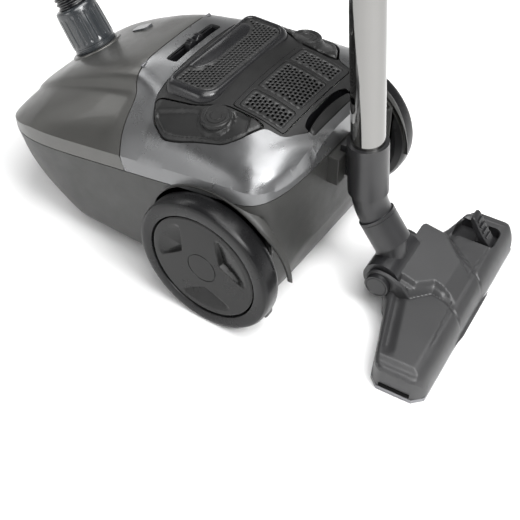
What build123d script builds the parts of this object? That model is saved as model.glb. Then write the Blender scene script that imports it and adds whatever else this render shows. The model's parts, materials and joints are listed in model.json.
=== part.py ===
from build123d import *
import math
import os

# Cylinder vacuum cleaner with its floor nozzle parked behind it. Millimetres.
# +X is the machine's left, the nose faces -Y, the floor is z = 0.
# Every shape is drawn from the rear axle (y = 0) and shifted by AXLE_Y when it is saved.

# ---- driving dimensions ----
AXLE_Y = 37.61         # rear axle's place in the part's frame
WALL = 3.0             # moulded wall thickness
HALF_WIDTH = 130.0     # half width of the body at its rim
NOSE_Y, FRONT_BEND = -320.0, -150.0
TAIL_Y, REAR_BEND = 67.0, 10.0
RIM_Z, RIM_SLOPE = 161.0, 0.185      # joint line of tub and covers: height at the axle, and rise
CREASE_RISE = 19.0     # upright band above the joint line
FLOOR_GAP = 18.0       # under the tub
SEAM_LOW, SEAM_HIGH = (-112.0, 142.0), (-141.0, 224.0)   # (y, z) of the seam behind the lid
SEAM_GAP = 0.5
HINGE = (-139.0, 219.0)              # (y, z) of the lid's hinge line
HINGE_R = 5.0
SEAM_R = 81.2          # reach of the lid below its hinge, so that it clears the tub as it opens

WHEEL_R, WHEEL_IN, WHEEL_OUT = 81.0, 125.5, 153.5
HUB_R = 63.0
AXLE_R = 6.0
CASTER = (-205.0, 16.0)              # (y, z) of the front roller's axle
CASTER_R = 15.5
OUTLET_X = -45.0                     # mains cord outlet in the rear wall

INLET = (0.0, -259.0, 166.0)         # centre of the hose inlet's rim
INLET_TILT = 31.5                    # degrees the inlet leans forward from upright
CUFF_R, CUFF_L = 25.0, 52.0
BORE_R = 21.0
WINDOW = (-27.0, -208.0)             # bag-full window (x, y)
FIT = 0.05                           # radial clearance of a running fit
HOSE_R = 18.0

WAND_FOOT = (0.0, 100.0, 168.0)      # on the wand's axis, level with the parking hook
WAND_LEAN = 5.2                      # degrees the wand leans forward
TUBE_R, OUTER_TUBE_R = 17.5, 19.5
TUBE_WALL = 0.8
LOWER_TUBE = (-34.0, 650.0)          # stretch along the wand
UPPER_TUBE = (330.0, 700.0)
COLLAR = (288.0, 350.0)
GRIP_BEND = 44.0                     # degrees the grip bends further forward
GRIP_START, GRIP_CORNER, GRIP_LENGTH = 664.0, 730.0, 125.0

SOCKET_RISE = 21.5                   # the socket's rim stands this far up the wand from its foot
ELBOW_CORNER = (0.0, 105.0, 113.5)
ELBOW_END = 21.0                     # the elbow's outlet, this far past its corner
SWIVEL_END = 54.0                    # the swivel collar's far end
OUTLET_TILT = 52.0                   # degrees the elbow's outlet points below level
PIVOT = (142.0, 42.0)                # (y, z) of the nozzle's tilting axis
DRUM_R, DRUM_HALF = 21.0, 30.0
NOZZLE_YAW = 4.0                     # degrees the parked nozzle is turned about the upright
NOZZLE_HALF, NOZZLE_FRONT = 132.0, 238.0
NOZZLE_TOP = 38.0

BUTTON = (83.0, -27.0)               # (x, y) of the left foot button
BUTTON_R = 15.0
PEDAL_DROP = 4.0

# Corners of the hose's route between the lid's cuff and the grip's: (x, y, z).
HOSE_ROUTE = [
    (-3, -384, 381), (-9, -431, 493), (-17, -469, 617), (-25, -491, 744), (-30, -491, 858),
    (-33, -471, 943), (-34, -436, 1005), (-32, -386, 1051), (-27, -327, 1079), (-20, -264, 1086),
    (-11, -201, 1075),
]
HOSE_FIRST_RUN, HOSE_LAST_RUN = 94.0, 73.0   # straight out of each cuff
HOSE_SPLIT_R = 430.0   # the lower hose ends this far from the lid's hinge
HOSE_UPPER_FROM = 5    # the upper hose starts between this corner and the one before

os.makedirs("parts", exist_ok=True)
made = {}


def save(name, shape):
    made[name] = Pos(0, AXLE_Y, 0) * shape
    export_step(made[name], f"parts/{name}.step")


def direction(tilt, ahead=-1):
    """Unit vector in the middle plane, tilt degrees from upright towards ahead * Y."""
    return Vector(0, ahead * math.sin(math.radians(tilt)), math.cos(math.radians(tilt)))


def along(origin, axis, distance):
    return Vector(*origin) + axis * distance


def rod(origin, axis, start, end, radius, bore=0.0):
    """Round bar or tube between two distances along an axis."""
    plane = Plane(origin=along(origin, axis, start), z_dir=axis)
    ring = Circle(radius) - Circle(bore) if bore else Circle(radius)
    return extrude(plane * ring, end - start)


def across(x0, x1, y, z, radius, bore=0.0):
    """Round bar or tube along X."""
    return rod((0, y, z), Vector(1, 0, 0), x0, x1, radius, bore)


def upright(points, z0, z1):
    """Prism of a plan outline between two heights."""
    return extrude(Pos(0, 0, z0) * make_face(Polyline(*points, close=True)), z1 - z0)


def box(x0, x1, y0, y1, z0, z1):
    return Pos((x0 + x1) / 2, (y0 + y1) / 2, (z0 + z1) / 2) * Box(x1 - x0, y1 - y0, z1 - z0)


def mirrored(points):
    """Full outline from its half at x >= 0."""
    return points + [(-x, y) for x, y in reversed(points) if x > 0]


def flip(shape):
    return mirror(shape, about=Plane.YZ)


def both(shape):
    return shape + flip(shape)


def table(pairs, y):
    """Straight-line reading of a short (y, value) list."""
    for (y0, v0), (y1, v1) in zip(pairs, pairs[1:]):
        if y <= y1:
            return v0 + (v1 - v0) * (y - y0) / (y1 - y0)
    return pairs[-1][1]


# ---- the body's outer form ----
TOP_LINE = [(-320, 108), (-300, 133), (-259, 165), (-220, 188), (-180, 208), (-141, 223),
            (-100, 227), (-40, 228), (10, 223), (45, 213), (67, 199)]
BOTTOM_LINE = [(-320, 86), (-200, FLOOR_GAP), (44, FLOOR_GAP), (58, 34), (67, 80)]
FRONT_CROWN = [(1.0, 0.0), (0.85, 0.29), (0.585, 0.60), (0.545, 0.85), (0.40, 0.985), (0.15, 1.0)]
REAR_CROWN = [(1.0, 0.0), (0.90, 0.46), (0.74, 0.70), (0.60, 0.86), (0.40, 0.95), (0.15, 1.0)]
CROWN_CHANGE = (-141.0, -90.0)
STATIONS = [-317, -309, -294, -268, -225, -180, -141, -90, -30, 25, 45, 56, 62, 66.5]


def half_width(y):
    t = max(0.0, (FRONT_BEND - y) / (FRONT_BEND - NOSE_Y), (y - REAR_BEND) / (TAIL_Y - REAR_BEND))
    return HALF_WIDTH * (1 - t**4) ** 0.25


def rim(y):
    return RIM_Z + RIM_SLOPE * y


def section(half_points, y):
    points = half_points + [(-x, z) for x, z in reversed(half_points)]
    return Wire.make_polygon([(x, y, z) for x, z in points], close=True)


def inner_width(y, inset):
    """Half width of the wall's inner side, kept off the curve at either end."""
    return min(half_width(y) - inset, half_width(y - inset), half_width(y + inset))


def upper_section(y, inset=0.0, skirt=0.0):
    wide, low, top = inner_width(y, inset), rim(y), table(TOP_LINE, y) - inset
    crease = low + min(CREASE_RISE, 0.35 * (top - low))
    blend = min(1.0, max(0.0, (y - CROWN_CHANGE[0]) / (CROWN_CHANGE[1] - CROWN_CHANGE[0])))
    half = [(wide, low - skirt)]
    for (fx, fz), (rx, rz) in zip(FRONT_CROWN, REAR_CROWN):
        x, z = fx + (rx - fx) * blend, fz + (rz - fz) * blend
        half.append((x * wide, crease + z * (top - crease)))
    return section(half, y)


def tub_section(y, inset=0.0, lift=0.0):
    wide, low, high = inner_width(y, inset), table(BOTTOM_LINE, y) + inset, rim(y) - SEAM_GAP + lift
    knee = min(low + 16, (low + high) / 2)
    return section([(wide, high), (0.95 * wide, knee), (0.88 * wide, low)], y)


def form(maker, inset=0.0, **more):
    ends = [STATIONS[0] + inset] + STATIONS[1:-1] + [STATIONS[-1] - inset]
    return Solid.make_loft([maker(y, inset=inset, **more) for y in ends], ruled=True)


def behind_seam(gap=0.0):
    """Everything behind the seam between lid and rear shell."""
    (y0, z0), (y1, z1) = SEAM_LOW, SEAM_HIGH
    slope = (y1 - y0) / (z1 - z0)
    low, high = y0 + slope * (60 - z0) + gap, y0 + slope * (260 - z0) + gap
    side = Polyline((low, 60), (200, 60), (200, 260), (high, 260), close=True)
    return extrude(Plane.YZ * make_face(side), 200, both=True)


upper = form(upper_section) - form(upper_section, inset=WALL, skirt=10)
arch = both(across(122, 160, 0, WHEEL_R, WHEEL_R + 3))
arch_wall = both(across(119, 160, 0, WHEEL_R, WHEEL_R + 6))
tub = (form(tub_section) - arch) - (form(tub_section, inset=WALL, lift=10) - arch_wall)
rear_skin = upper & behind_seam(SEAM_GAP / 2)
lid_skin = upper - behind_seam(-SEAM_GAP / 2)

# ---- rear shell, deck and what is set into it ----
DECK = [(0, -101), (84, -101), (104, -89), (114, -70), (112, -50), (101, -6), (90, 6), (70, 19),
        (65, 40), (42, 52), (0, 52)]
PEDAL = [(84, -97), (103, -86), (111, -69), (109, -50), (98, -7), (88, 3), (70, 15), (66, 8), (66, -26), (81, -54)]
HUMP_BASE, HUMP_TOP = (78.0, -98.0, -43.0), (70.0, -96.0, -50.0)   # half width, front y, rear y
HUMP_Z = (202.0, 229.0)
DOOR_HALF, DOOR_Y = 62.0, (-22.0, 38.0)
LATCH_HALF, LATCH_Y = 38.0, (42.0, 58.0)
LATCH_GAP = 7.0        # finger room ahead of the latch bar
GRILLES = [(-59, -31), (-26, 26), (31, 59)]
GRILLE_Y = (-17.0, 33.0)
SLOT_HALF, SLOT_Y = 40.0, -116.0
HOLE, PITCH = (3.4, 2.2), (5.2, 4.0)
LOW, HIGH = 120, 260


def offset_plan(points, distance, z0=LOW, z1=HIGH):
    face = make_face(Polyline(*points, close=True))
    return extrude(Pos(0, 0, z0) * offset(face, distance, kind=Kind.INTERSECTION), z1 - z0)


def staggered_holes(x0, x1, y0, y1, z0, z1):
    holes, row = [], 0
    y = y0 + PITCH[1] / 2
    while y < y1 - HOLE[1] / 2:
        x = x0 + PITCH[0] / 2 + (row % 2) * PITCH[0] / 2
        while x < x1 - HOLE[0] / 2:
            holes.append(Pos(x, y, (z0 + z1) / 2) * Box(HOLE[0], HOLE[1], z1 - z0))
            x += PITCH[0]
        y, row = y + PITCH[1], row + 1
    return Compound(children=holes)


def hump_block(inset, z0, z1):
    (b, b0, b1), (t, t0, t1) = HUMP_BASE, HUMP_TOP
    low = Pos(0, (b0 + b1) / 2, z0) * RectangleRounded(2 * (b - inset), b1 - b0 - 2 * inset, 20 - inset)
    high = Pos(0, (t0 + t1) / 2, z1) * RectangleRounded(2 * (t - inset), t1 - t0 - 2 * inset, 18 - inset)
    return loft([low.face(), high.face()])


def make_top():
    deck_area = upright(mirrored(DECK), LOW, HIGH)
    pedal_area = upright(PEDAL, LOW, HIGH)
    door_area = box(-DOOR_HALF, DOOR_HALF, *DOOR_Y, LOW, HIGH)
    latch_area = box(-LATCH_HALF, LATCH_HALF, *LATCH_Y, 185, HIGH)
    hump_area = hump_block(-0.4, HUMP_Z[0], HUMP_Z[1])
    hump_hole = extrude(Pos(0, 0, LOW) * hump_area.faces().sort_by(Axis.Z)[0].translate((0, 0, LOW - HUMP_Z[0])),
                        HIGH - LOW)
    slot_area = box(-SLOT_HALF, SLOT_HALF, SLOT_Y - 7, SLOT_Y + 7, 205, HIGH)
    barrel_room = across(-60, 60, *HINGE, HINGE_R + 0.6)

    shell = rear_skin - deck_area - latch_area - slot_area - barrel_room
    save("rear_shell", shell)

    door_gap = box(-DOOR_HALF - 0.6, DOOR_HALF + 0.6, DOOR_Y[0] - 0.6, DOOR_Y[1] + 0.6, LOW, HIGH)
    pedal_gap = offset_plan(PEDAL, 0.6)
    deck = (rear_skin & deck_area) - both(pedal_gap) - door_gap - hump_hole - latch_area
    save("control_deck", deck)

    door = rear_skin & door_area
    windows = [box(x0, x1, *GRILLE_Y, LOW, HIGH) for x0, x1 in GRILLES]
    grille = Compound(children=[
        (door & window) - staggered_holes(x0 + 1, x1 - 1, *GRILLE_Y, LOW, HIGH)
        for (x0, x1), window in zip(GRILLES, windows)
    ])
    for window in windows:
        door -= window
    save("filter_door", door)
    save("outlet_grilles", grille)

    save("filter_latch", (box(-LATCH_HALF + 0.6, LATCH_HALF - 0.6, LATCH_Y[0] + LATCH_GAP, LATCH_Y[1] - 0.6, 190, 203)))

    up = Vector(0, 0, 1)
    button = rod((*BUTTON, 0), up, 190, 211, BUTTON_R) - rod((*BUTTON, 0), up, 180, 207, BUTTON_R - 2)
    flap = (rear_skin & pedal_area) + (button - rear_skin)
    flap -= rod((*BUTTON, 0), up, LOW, 207, BUTTON_R - 2)
    save("left_pedal", flap)
    save("right_pedal", flip(flap))
    make_hump()
    make_slider()


def make_hump():
    cover = hump_block(0, *HUMP_Z)
    cover = fillet(cover.faces().sort_by(Axis.Z)[-1].edges(), 4)
    cover -= hump_block(WALL, HUMP_Z[0] - 1, HUMP_Z[1] - WALL)
    half, y0, y1 = HUMP_TOP[0] - 10, HUMP_TOP[1] + 8, HUMP_TOP[2] - 6
    cover -= box(-half, half, y0, y1, HUMP_Z[1] - WALL - 1, HUMP_Z[1] + 1)
    save("hump_cover", cover)
    plate = box(-half, half, y0, y1, HUMP_Z[1] - WALL, HUMP_Z[1] - 0.5)
    save("hump_mesh", plate - staggered_holes(-half + 2, half - 2, y0 + 2, y1 - 2, HUMP_Z[1] - 6, HUMP_Z[1] + 2))


def make_slider():
    tray = box(-SLOT_HALF + 0.2, SLOT_HALF - 0.2, SLOT_Y - 6.8, SLOT_Y + 6.8, 209, 221)
    save("slider_track", tray - box(-SLOT_HALF + 2, SLOT_HALF - 2, SLOT_Y - 4.5, SLOT_Y + 4.5, 212, 222))
    knob = box(-11, 11, SLOT_Y - 4, SLOT_Y + 4, 212.4, 225)
    knob = fillet(knob.edges().filter_by(Axis.Y), 3.5)
    save("slider_knob", knob - across(-4, 4, SLOT_Y, 229, 6))


# ---- tub, wheels and caster ----
def make_tub():
    up = Vector(0, 0, 1)
    cup = rod((0, CASTER[0], 0), up, 10, 39.3, 27) & form(tub_section)
    shape = tub + cup + rod((0, CASTER[0], 0), up, 38, 51, 16)
    shape -= rod((0, CASTER[0], 0), up, 30, 48, 5.0) + rod((0, CASTER[0], 0), up, 0, 36.3, 24)
    bosses = both(across(108, 122, 0, WHEEL_R, 14))
    shape = shape + bosses - both(across(100, 130, 0, WHEEL_R, AXLE_R))
    shape -= rod((OUTLET_X, 50, 100), Vector(0, 1, 0), 0, 30, 9)
    save("base_tub", shape)
    save("wheel_axles", both(across(104, 148, 0, WHEEL_R, AXLE_R - FIT / 2)))
    back = Vector(0, 1, 0)
    outlet = rod((OUTLET_X, 0, 100), back, 61, 68.5, 9, 5) + rod((OUTLET_X, 0, 100), back, 67.2, 70, 12, 5)
    save("cord_outlet", outlet)


def make_wheels():
    ring = [(WHEEL_IN, 64), (WHEEL_IN, 71), (134, WHEEL_R), (151, WHEEL_R), (WHEEL_OUT, 78.5), (WHEEL_OUT, 64.5)]
    face = make_face(Polyline(*[(x, r) for x, r in ring], close=True))
    tyre = Pos(0, 0, WHEEL_R) * revolve(face, Axis.X)
    hub = across(133, 152, 0, WHEEL_R, HUB_R) + across(WHEEL_IN, 140, 0, WHEEL_R, 18)
    hub += across(WHEEL_IN + 3, 133, 0, WHEEL_R, 64, 20) - across(WHEEL_IN, 140, 0, WHEEL_R, 60, 18)
    hub -= across(120, 149, 0, WHEEL_R, AXLE_R + FIT)
    for turn in (30, 150, 270):
        y, z = 44 * math.cos(math.radians(turn)), WHEEL_R + 44 * math.sin(math.radians(turn))
        hub -= across(149.5, 153, y, z, 13)
    save("left_tyre", tyre)
    save("right_tyre", flip(tyre))
    save("left_hubcap", hub)
    save("right_hubcap", flip(hub))


def make_caster():
    y, z = CASTER
    stem = rod((0, y, 0), Vector(0, 0, 1), 34, 47, 5.0 - FIT)
    fork = stem + rod((0, y, 0), Vector(0, 0, 1), 33.5, 36, 17)
    fork += both(box(12, 16, y - 9, y + 9, z - 7, 34))
    fork -= across(-17, 17, y, z, 3.0)
    save("caster_fork", fork)
    save("caster_roller", across(-11.5, 11.5, y, z, CASTER_R + 0.5, 3.0 + FIT))
    save("caster_axle", across(-16, 16, y, z, 3.0 - 0.02))


# ---- lid with its hose inlet ----
def make_lid():
    axis = direction(INLET_TILT)
    pedestal = rod(INLET, axis, -34, 0, 31)
    lid = lid_skin + (pedestal - form(upper_section, inset=WALL, skirt=30))
    lid += across(-58, 58, *HINGE, HINGE_R) & (form(upper_section))
    lid -= box(-135, 135, -139, -100, 130, 150) - across(-140, 140, *HINGE, SEAM_R)
    lid -= rod(INLET, axis, -70, 1, 25) + across(-130, 130, *HINGE, 2.0 + FIT)
    lid -= across(-130, 130, *HINGE, 3.2) - across(-58, 58, *HINGE, 4.5)
    seat = Plane(origin=(WINDOW[0], WINDOW[1], table(TOP_LINE, WINDOW[1]) - 6), z_dir=direction(29))
    window = extrude(seat * RectangleRounded(26, 14, 5), 7)
    save("front_cover", lid - window)
    save("bag_full_window", window)
    save("inlet_collar", rod(INLET, axis, -44, 0, 25, BORE_R))
    save("inlet_seal", rod(INLET, axis, -48, -44, 24, BORE_R))
    cuff = rod(INLET, axis, 0.3, CUFF_L, CUFF_R, HOSE_R - 2) + rod(INLET, axis, -36, 0.3, BORE_R - FIT, HOSE_R - 2)
    save("hose_cuff", cuff)
    save("hinge_pin", across(-59, 59, *HINGE, 2.0 - FIT / 2))
    save("lid_latch", box(-20, 20, -321.5, -317.6, 90, 107))


def make_dust_side():
    axis = direction(INLET_TILT)
    plate = extrude(Plane(origin=along(INLET, axis, -52), z_dir=axis) * RectangleRounded(96, 62, 8), 3.5)
    save("bag_holder", plate - rod(INLET, axis, -60, -40, 22))
    bag = loft([
        (Pos(0, -148, FLOOR_GAP + WALL) * RectangleRounded(100, 48, 20)).face(),
        (Pos(0, -150, 54) * RectangleRounded(130, 58, 20)).face(),
        (Pos(0, -180, 80) * RectangleRounded(176, 122, 40)).face(),
        (Pos(0, -190, 100) * RectangleRounded(140, 100, 30)).face(),
    ], ruled=True)
    save("dust_bag", bag)
    save("bulkhead", box(-108, 108, -102, -98, 36, 150) - Compound(children=[
        box(-60 + 24 * i, -44 + 24 * i, -105, -95, 55, 130) for i in range(6)]))
    save("motor_filter", box(-64, 80, -108.5, -102.5, 50, 136))


def make_machinery():
    mx, mz = 44.0, 92.0
    hold = Vector(0, 1, 0)
    case = rod((mx, 0, mz), hold, -92, 2, 56, 53) + rod((mx, 0, mz), hold, -1, 2, 53.5, 20)
    save("motor_housing", case)
    stator = rod((mx, 0, mz), hold, -46, -8, 40, 22)
    save("motor_stator", stator)
    rotor = rod((mx, 0, mz), hold, -84, 0, 4) + rod((mx, 0, mz), hold, -44, -10, 20)
    fan = rod((mx, 0, mz), hold, -82, -80, 46) + rod((mx, 0, mz), hold, -68, -66, 46, 18)
    rotor += rod((mx, 0, mz), hold, -80, -60, 10)
    blade = Pos(mx, -74, mz) * Box(2.4, 12, 36)
    for turn in range(0, 360, 45):
        spin = Pos(mx, 0, mz) * Rot(0, turn, 0) * Pos(-mx, 0, -mz)
        fan += spin * (Pos(0, 0, 27) * blade)
    save("fan_rotor", rotor + fan)
    mounts = rod((mx, 0, mz), hold, 2, 10, 30, 21) + rod((mx, 0, mz), hold, -97.5, -92, 54, 46)
    save("motor_mounts", mounts)

    rx, ry, rz = (-100.0, -50.0), -10.0, 92.0
    drum = across(rx[0] + 2, rx[1] - 2, ry, rz, 30, 8.05) + across(rx[0], rx[0] + 2, ry, rz, 56, 8.05)
    save("cord_reel", drum + across(rx[1] - 2, rx[1], ry, rz, 56, 8.05))
    post = across(rx[0] - 4, rx[1] + 8, ry, rz, 8) + box(rx[1] + 3, rx[1] + 8, ry - 12, ry + 12, FLOOR_GAP + WALL, rz + 12)
    save("reel_post", post)
    board = box(-60, 20, -78, -28, 166, 168)
    parts = box(-50, -30, -70, -50, 168, 182) + rod((-5, -50, 0), Vector(0, 0, 1), 168, 186, 8)
    save("circuit_board", board + parts)
    save("power_switch", box(-94, -72, -38, -16, 166, 184) + rod((-83, -27, 0), Vector(0, 0, 1), 184, 201, 4))
    save("exhaust_filter", box(-54, 54, -18, 34, 182, 203) + box(-57, 57, -20, 36, 178, 182))


# ---- parking bracket, elbow and wand ----
def make_bracket():
    block = box(-23, 23, 66, 79, 137, 171)
    block -= box(-8, 8, 71, 80, 130, 180)
    save("park_bracket", block - form(tub_section) - form(upper_section))


def wand_axis():
    return direction(WAND_LEAN)


def make_elbow():
    down = wand_axis() * -1
    out = Vector(0, math.cos(math.radians(OUTLET_TILT)), -math.sin(math.radians(OUTLET_TILT)))
    corner = Vector(*ELBOW_CORNER)
    start, end = corner - down * 19.0, corner + out * ELBOW_END
    plane = Plane(origin=start, z_dir=down)
    outer = sweep(plane * Circle(18.5), path=FilletPolyline(start, corner, end, radius=60))
    outer += rod(corner, out, ELBOW_END - 3.5, ELBOW_END, 20.5)
    inner = sweep(plane * Circle(15.0), path=FilletPolyline(start, corner, end + out, radius=34))
    socket = rod(WAND_FOOT, wand_axis(), -36, SOCKET_RISE, 21.5, TUBE_R + FIT / 2)
    socket += rod(WAND_FOOT, wand_axis(), -40, -36, 21.5, 15)
    hook = box(-7.4, 7.4, 71.6, 92, 141, 178) - rod(WAND_FOOT, wand_axis(), -60, 20, 20)
    save("elbow", (outer - inner) + socket + hook)
    return corner, out


def make_neck(corner, out):
    turn = rod(corner, out, ELBOW_END + 0.4, SWIVEL_END, 20.5, 12.5)
    turn += rod(corner, out, 11.5, ELBOW_END + 0.4, 14.95, 12.5)
    drum = across(-DRUM_HALF, DRUM_HALF, *PIVOT, DRUM_R)
    throat_from = along(corner, out, SWIVEL_END - 6)
    throat_axis = (Vector(0, *PIVOT) - throat_from).normalized()
    neck = turn + yawed(drum) + rod(throat_from, throat_axis, 0, 30, 17) - rod(corner, out, 10, SWIVEL_END - 6, 12.5)
    save("nozzle_neck", neck - yawed(across(-60, 60, *PIVOT, 4.0 + FIT)))


def make_wand():
    axis = wand_axis()
    save("lower_tube", rod(WAND_FOOT, axis, *LOWER_TUBE, TUBE_R, TUBE_R - TUBE_WALL))
    save("upper_tube", rod(WAND_FOOT, axis, *UPPER_TUBE, OUTER_TUBE_R, OUTER_TUBE_R - TUBE_WALL))
    collar = rod(WAND_FOOT, axis, *COLLAR, 24, OUTER_TUBE_R) + rod(WAND_FOOT, axis, COLLAR[0], UPPER_TUBE[0], 23, TUBE_R + 0.4)
    frame = Plane(origin=along(WAND_FOOT, axis, 315), x_dir=axis, z_dir=Vector(0, -axis.Z, axis.Y))
    pocket = extrude(frame * Rectangle(34.4, 16.4), 40) - rod(WAND_FOOT, axis, 200, 500, 21.8)
    save("lock_collar", collar - pocket)
    button = extrude(frame * RectangleRounded(26, 16, 3), 27) - rod(WAND_FOOT, axis, 200, 500, 22.2)
    save("lock_button", button)
    make_grip(axis)


def grip_axis():
    return direction(WAND_LEAN + GRIP_BEND)


def make_grip(axis):
    corner = along(WAND_FOOT, axis, GRIP_CORNER)
    tail = corner + grip_axis() * GRIP_LENGTH
    start = along(WAND_FOOT, axis, GRIP_START)
    path = FilletPolyline(start, corner, tail, radius=60)
    plane = Plane(origin=start, z_dir=axis)
    outer, inner = sweep(plane * Circle(22.5), path=path), sweep(plane * Circle(16.0), path=path)
    grip = outer - inner - rod(WAND_FOOT, axis, GRIP_START - 1, UPPER_TUBE[1], OUTER_TUBE_R + FIT)
    grip -= rod(tail, grip_axis(), -30, 1, 20)
    top = Vector(0, grip_axis().Z, -grip_axis().Y)
    seat = Plane(origin=corner + grip_axis() * 75 + top * 20.5, z_dir=top, x_dir=grip_axis())
    grip -= extrude(seat * Rectangle(40, 13), 5)
    save("grip", grip)
    save("air_slider", extrude(seat * Pos(-6, 0, 0) * Rectangle(26, 12.4), 3.4))
    cuff = rod(tail, grip_axis(), 0.3, 34, 24, HOSE_R - 2) + rod(tail, grip_axis(), -28, 0.3, 20 - FIT, HOSE_R - 2)
    save("grip_cuff", cuff)
    return tail


# ---- hose ----
def hose_route():
    axis = direction(INLET_TILT)
    corner = along(WAND_FOOT, wand_axis(), GRIP_CORNER)
    start = along(INLET, axis, CUFF_L)
    end = corner + grip_axis() * (GRIP_LENGTH + 34)
    first, last = start + axis * HOSE_FIRST_RUN, end + grip_axis() * HOSE_LAST_RUN
    return [start, first] + [Vector(*p) for p in HOSE_ROUTE] + [last, end]


def corner_radii(points):
    radii = []
    for a, b, c in zip(points, points[1:], points[2:]):
        turn = math.radians((b - a).get_angle(c - b))
        radii.append(0.45 * min((b - a).length, (c - b).length) / math.tan(turn / 2))
    return radii


def hose_piece(name, points):
    radii = corner_radii(points)
    path = FilletPolyline(*points, radius=radii)
    tube = sweep(Plane(origin=points[0], z_dir=points[1] - points[0]) * Circle(HOSE_R), path=path)
    print(name, "length", round(path.length), "radii", [round(r) for r in radii],
          "volume ratio", round(tube.volume / (math.pi * HOSE_R**2 * path.length), 4))
    return tube


def make_hose():
    route = hose_route()
    cut = across(-200, 200, *HINGE, HOSE_SPLIT_R)
    cut_out = across(-200, 200, *HINGE, HOSE_SPLIT_R + 0.6)
    n = HOSE_UPPER_FROM
    middle_end = (route[n] + route[n + 1]) * 0.5
    low = hose_piece("hose from the lid", route[: n + 1] + [middle_end])
    save("hose_lower", low & cut)
    save("hose_middle", low - cut_out)
    save("hose_upper", hose_piece("hose to the grip", [middle_end] + route[n + 1:]))


# ---- floor nozzle, drawn square and then turned by its parked yaw ----
def yawed(shape):
    y = PIVOT[0]
    return Pos(0, y, 0) * Rot(0, 0, NOZZLE_YAW) * Pos(0, -y, 0) * shape


NOZZLE_PLAN = [(0, NOZZLE_FRONT), (122, NOZZLE_FRONT), (NOZZLE_HALF, NOZZLE_FRONT - 11), (NOZZLE_HALF, 188),
               (122, 178), (62, 160), (0, 160)]
EAR_X = (31.5, 36.5)
SOLE_SCREWS = [(-108, 187), (-60, 184), (60, 184), (108, 187)]


def make_nozzle():
    plan = mirrored(NOZZLE_PLAN)
    body = upright(plan, 5, NOZZLE_TOP)
    slope = Polyline((NOZZLE_FRONT - 16, NOZZLE_TOP), (NOZZLE_FRONT + 2, NOZZLE_TOP), (NOZZLE_FRONT + 2, 22), close=True)
    body -= extrude(Plane.YZ * make_face(slope), 200, both=True)
    neck_top = Polyline((PIVOT[0] + 24, 5), (PIVOT[0] + 30, 58), (PIVOT[0] + 38, 58), (226, NOZZLE_TOP - 4),
                        (226, 5), close=True)
    body += extrude(Plane.YZ * make_face(neck_top), 42, both=True)
    hollow = offset_plan(plan, -WALL, 0, NOZZLE_TOP - 16)
    body -= hollow
    body -= across(-42 + WALL, 42 - WALL, *PIVOT, 44) & box(-60, 60, 150, 200, 8, 40)
    body += both(box(*EAR_X, PIVOT[0] - 12, 176, 26, 56) & (across(*EAR_X, *PIVOT, 16) + box(*EAR_X, 142, 176, 26, 56)))
    body -= across(-60, 60, *PIVOT, 4.0)
    body -= across(-EAR_X[0] + 0.1, EAR_X[0] - 0.1, *PIVOT, DRUM_R + 0.8)
    body -= box(-106, -80, 176, 226, 24.5, 60)
    save("nozzle_housing", yawed(body))

    sole = upright(plan, 0, 5) - box(-120, 120, 205, 222, -1, 6) - both(box(20, 118, 196, 200, -1, 6))
    sole -= box(-118, 118, 226, 230, -1, 6)
    up = Vector(0, 0, 1)
    screws = Compound(children=[
        rod((x, y, 0), up, 0.8, 2.8, 3) + rod((x, y, 0), up, 2.8, 11, 1.4)
        for x, y in SOLE_SCREWS
    ])
    for x, y in SOLE_SCREWS:
        sole -= rod((x, y, 0), up, -1, 2.8, 3) + rod((x, y, 0), up, 2, 6, 1.4)
    save("sole_plate", yawed(sole))
    save("sole_screws", yawed(screws))
    strips = box(-117.5, 117.5, 226.4, 229.6, 0.5, 17) + both(box(20.5, 117.5, 196.4, 199.6, 0.5, 17))
    strips += both(box(112, 117.5, 196.4, 229.6, 14, 17))
    save("bristle_strips", yawed(strips))
    pin = across(-EAR_X[1] - 1, EAR_X[1] + 1, *PIVOT, 4.0 - 0.02)
    save("pivot_pin", yawed(pin + both(across(EAR_X[1], EAR_X[1] + 6, *PIVOT, 14))))
    pedal = Pos(-92, 208, 46) * Rot(-52, 0, 0) * Box(17, 44, 6)
    pedal += across(-100, -84, 208, 30, 5) + box(-98, -86, 204, 212, 30, 44)
    save("nozzle_pedal", yawed(pedal))


make_top()
make_tub()
make_wheels()
make_caster()
make_lid()
make_dust_side()
make_machinery()
make_bracket()
make_neck(*make_elbow())
make_wand()
make_hose()
make_nozzle()

firm = [shape for name, shape in made.items() if not name.startswith("hose_") or name == "hose_cuff"]
bounds = Compound(children=firm).bounding_box()
print("without the hose", bounds.min, bounds.max)
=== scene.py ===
import json
import math

import bmesh
import bpy
import numpy as np
from mathutils import Matrix, Vector, geometry

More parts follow.
